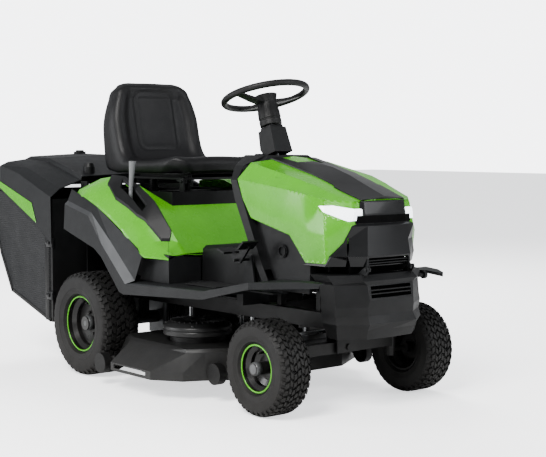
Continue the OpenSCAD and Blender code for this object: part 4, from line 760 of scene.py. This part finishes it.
class MOWER_OT_bag(bpy.types.Operator):
    """Makes the woven bag, its bindings and its latches"""
    bl_idname = "mower.bag"
    bl_label = "Grass bag"

    def execute(self, context):
        sag = context.scene.mower_sizes.bag_sag
        low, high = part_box("catcher_bag")
        half = high.y
        bottom = [(high.x, low.z), (high.x - 0.364, low.z + 0.110), (high.x - 0.468, low.z + 0.284)]
        rim = [(high.x, 0.590), (high.x - 0.098, 0.660), (high.x - 0.448, 0.784), (low.x, 0.786)]
        bm = bmesh.new()
        bmesh.ops.create_cube(bm, size=2.0)
        bmesh.ops.subdivide_edges(bm, edges=bm.edges, cuts=BAG_CUTS, use_grid_fill=True)
        # A point of the cube past this lies on one of its faces
        face = 0.999
        flats = {vert: vert.co.copy() for vert in bm.verts}
        for vert, flat in flats.items():
            u, w, v = flat
            foot, head = straight(bottom, (1 - u) / 2), straight(rim, (1 - u) / 2)
            at = foot.lerp(head, (v + 1) / 2)
            hang = (1 - u * u) * (1 - v * v)
            broad = noise.noise(Vector((u * 1.6, w * 2.1, v * 3.2)))
            narrow = noise.noise(Vector((u * 4.5, w, v * 1.2)))
            fold = broad * 0.5 + narrow * 0.5
            side = half * w
            if abs(w) > face:
                side -= math.copysign(sag * hang * (1.1 + 0.9 * fold), w)
            point = Vector((at.x, side, at.y))
            if v < -face:
                point.z += sag * (1 - u * u) * (1 - w * w) * (0.4 + fold)
            if u < -face:
                point.x += sag * (1 - v * v) * (1 - w * w) * (0.7 + fold)
            vert.co = point
        # The bag is open under the lid and at the grass inlet
        gone = []
        for cell in bm.faces:
            middle = cell.calc_center_median()
            lid = all(flats[v].z > face for v in cell.verts)
            inlet = all(flats[v].x > face for v in cell.verts) and abs(middle.y) < 0.118 and 0.41 < middle.z < 0.61
            if lid or inlet:
                gone.append(cell)
        bmesh.ops.recalc_face_normals(bm, faces=bm.faces)
        bmesh.ops.delete(bm, geom=gone, context="FACES")
        made = place_piece("grass_bag", bm, "catcher", "bag_mesh", recalc=False)
        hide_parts("catcher_bag")
        wall = made.modifiers.new("Cloth", "SOLIDIFY")
        wall.thickness = 0.0022
        wall.offset = -1.0
        # Bindings over the seams
        bm = bmesh.new()
        tape = 0.016
        outline = bottom + [(low.x + 0.001, 0.780)]
        for sign in (-1, 1):
            for (x0, z0), (x1, z1) in zip(outline, outline[1:]):
                run = Vector((x1 - x0, 0, z1 - z0))
                turn = Vector((1, 0, 0)).rotation_difference(run).to_matrix()
                inwards = turn @ Vector((0, 0, math.copysign(tape / 2, x1 - x0)))
                middle = Vector(((x0 + x1) / 2, sign * (half - 0.0004), (z0 + z1) / 2)) + inwards
                block(bm, middle, (run.length + 0.004, 0.0032, tape), turn, 0.0012)
            block(bm, Vector((high.x - 0.02, sign * (half - 0.0002), 0.395)), (0.034, 0.0040, 0.385), None, 0.0015)
        place_piece("bag_binding", bm, "catcher", "bag_mesh", look="black_plastic")
        bm = bmesh.new()
        for sign in (-1, 1):
            for z in (0.318, 0.560):
                block(bm, Vector((high.x + 0.004, sign * (half - 0.003), z)), (0.052, 0.014, 0.040), None, 0.003)
                block(bm, Vector((high.x - 0.006, sign * (half + 0.004), z)), (0.030, 0.012, 0.016), None, 0.003)
        place_piece("bag_latches", bm, "catcher", "black_plastic", look="satin_black")
        return {"FINISHED"}


class MOWER_OT_footboards(bpy.types.Operator):
    """Gives the fenders and footboards their rounded edges, and a lighter band on the footboards' upward-facing edge
    as a painted highlight
    """
    bl_idname = "mower.footboards"
    bl_label = "Footboards"

    def execute(self, context):
        made = copied_panel("lower_body", 0.003, 2, 12)
        # The fender and the riser reach up behind the lower edge of the green cover
        fender_front, fender_ramp, fender_lift, fender_tuck = 0.055, 0.10, 0.028, 0.0065
        side_lift, front_lift = 0.072, 0.055
        for vert in made.data.vertices:
            x, y, z = vert.co
            if abs(abs(y) - FENDER_EDGE_Y) < 0.0012 and z > 0.55 and x < fender_front:
                share = min((fender_front - x) / fender_ramp, 1.0)
                vert.co.z += fender_lift * share
                vert.co.y = math.copysign(FENDER_EDGE_Y - fender_tuck * share, y)
            elif 0.389 < abs(y) < 0.3985 and 0.455 < z < 0.55 and 0.10 < x < 0.322:
                vert.co.z += side_lift
            elif 0.235 < abs(y) < 0.389 and 0.460 < z < 0.55 and 0.312 < x < 0.3225:
                vert.co.z += front_lift
        # Painted highlight: the upward-facing faces along the outer edge get the lighter colour
        made.data.materials.append(FINISH["painted_edge_band"])
        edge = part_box("lower_body")[1].y
        for face in made.data.polygons:
            if edge - 0.0155 < abs(face.center.y) < edge - 0.0005 and face.normal.z > 0.10:
                face.material_index = 1
        return {"FINISHED"}


class MOWER_PT_panel(bpy.types.Panel):
    """Lists the steps that build the mower"""
    bl_idname = "MOWER_PT_panel"
    bl_label = "Riding Mower"
    bl_space_type = "VIEW_3D"
    bl_region_type = "UI"
    bl_category = "Mower"

    def draw(self, context):
        for group in (context.scene.mower_sizes, context.scene.mower_colours):
            for key in group.bl_rna.properties.keys():
                if key not in ("rna_type", "name"):
                    self.layout.prop(group, key)
        for step in STEPS:
            self.layout.operator(step.bl_idname)


STEPS = [MOWER_OT_stage, MOWER_OT_finishes, MOWER_OT_panels, MOWER_OT_footboards, MOWER_OT_fittings,
         MOWER_OT_tyres, MOWER_OT_rims, MOWER_OT_seat, MOWER_OT_deck_motors, MOWER_OT_bag]
CLASSES = [MowerSizes, MowerColours] + STEPS + [MOWER_PT_panel]


def register():
    for kind in CLASSES:
        bpy.utils.register_class(kind)
    bpy.types.Scene.mower_sizes = PointerProperty(type=MowerSizes)
    bpy.types.Scene.mower_colours = PointerProperty(type=MowerColours)


def unregister():
    del bpy.types.Scene.mower_colours
    del bpy.types.Scene.mower_sizes
    for kind in reversed(CLASSES):
        bpy.utils.unregister_class(kind)


def main():
    register()
    for step in STEPS:
        group, name = step.bl_idname.split(".")
        getattr(getattr(bpy.ops, group), name)()


if __name__ == "__main__":
    for kept in list(bpy.context.scene.objects):
        if kept.type in {"CAMERA", "LIGHT"}:
            bpy.data.objects.remove(kept)
    main()
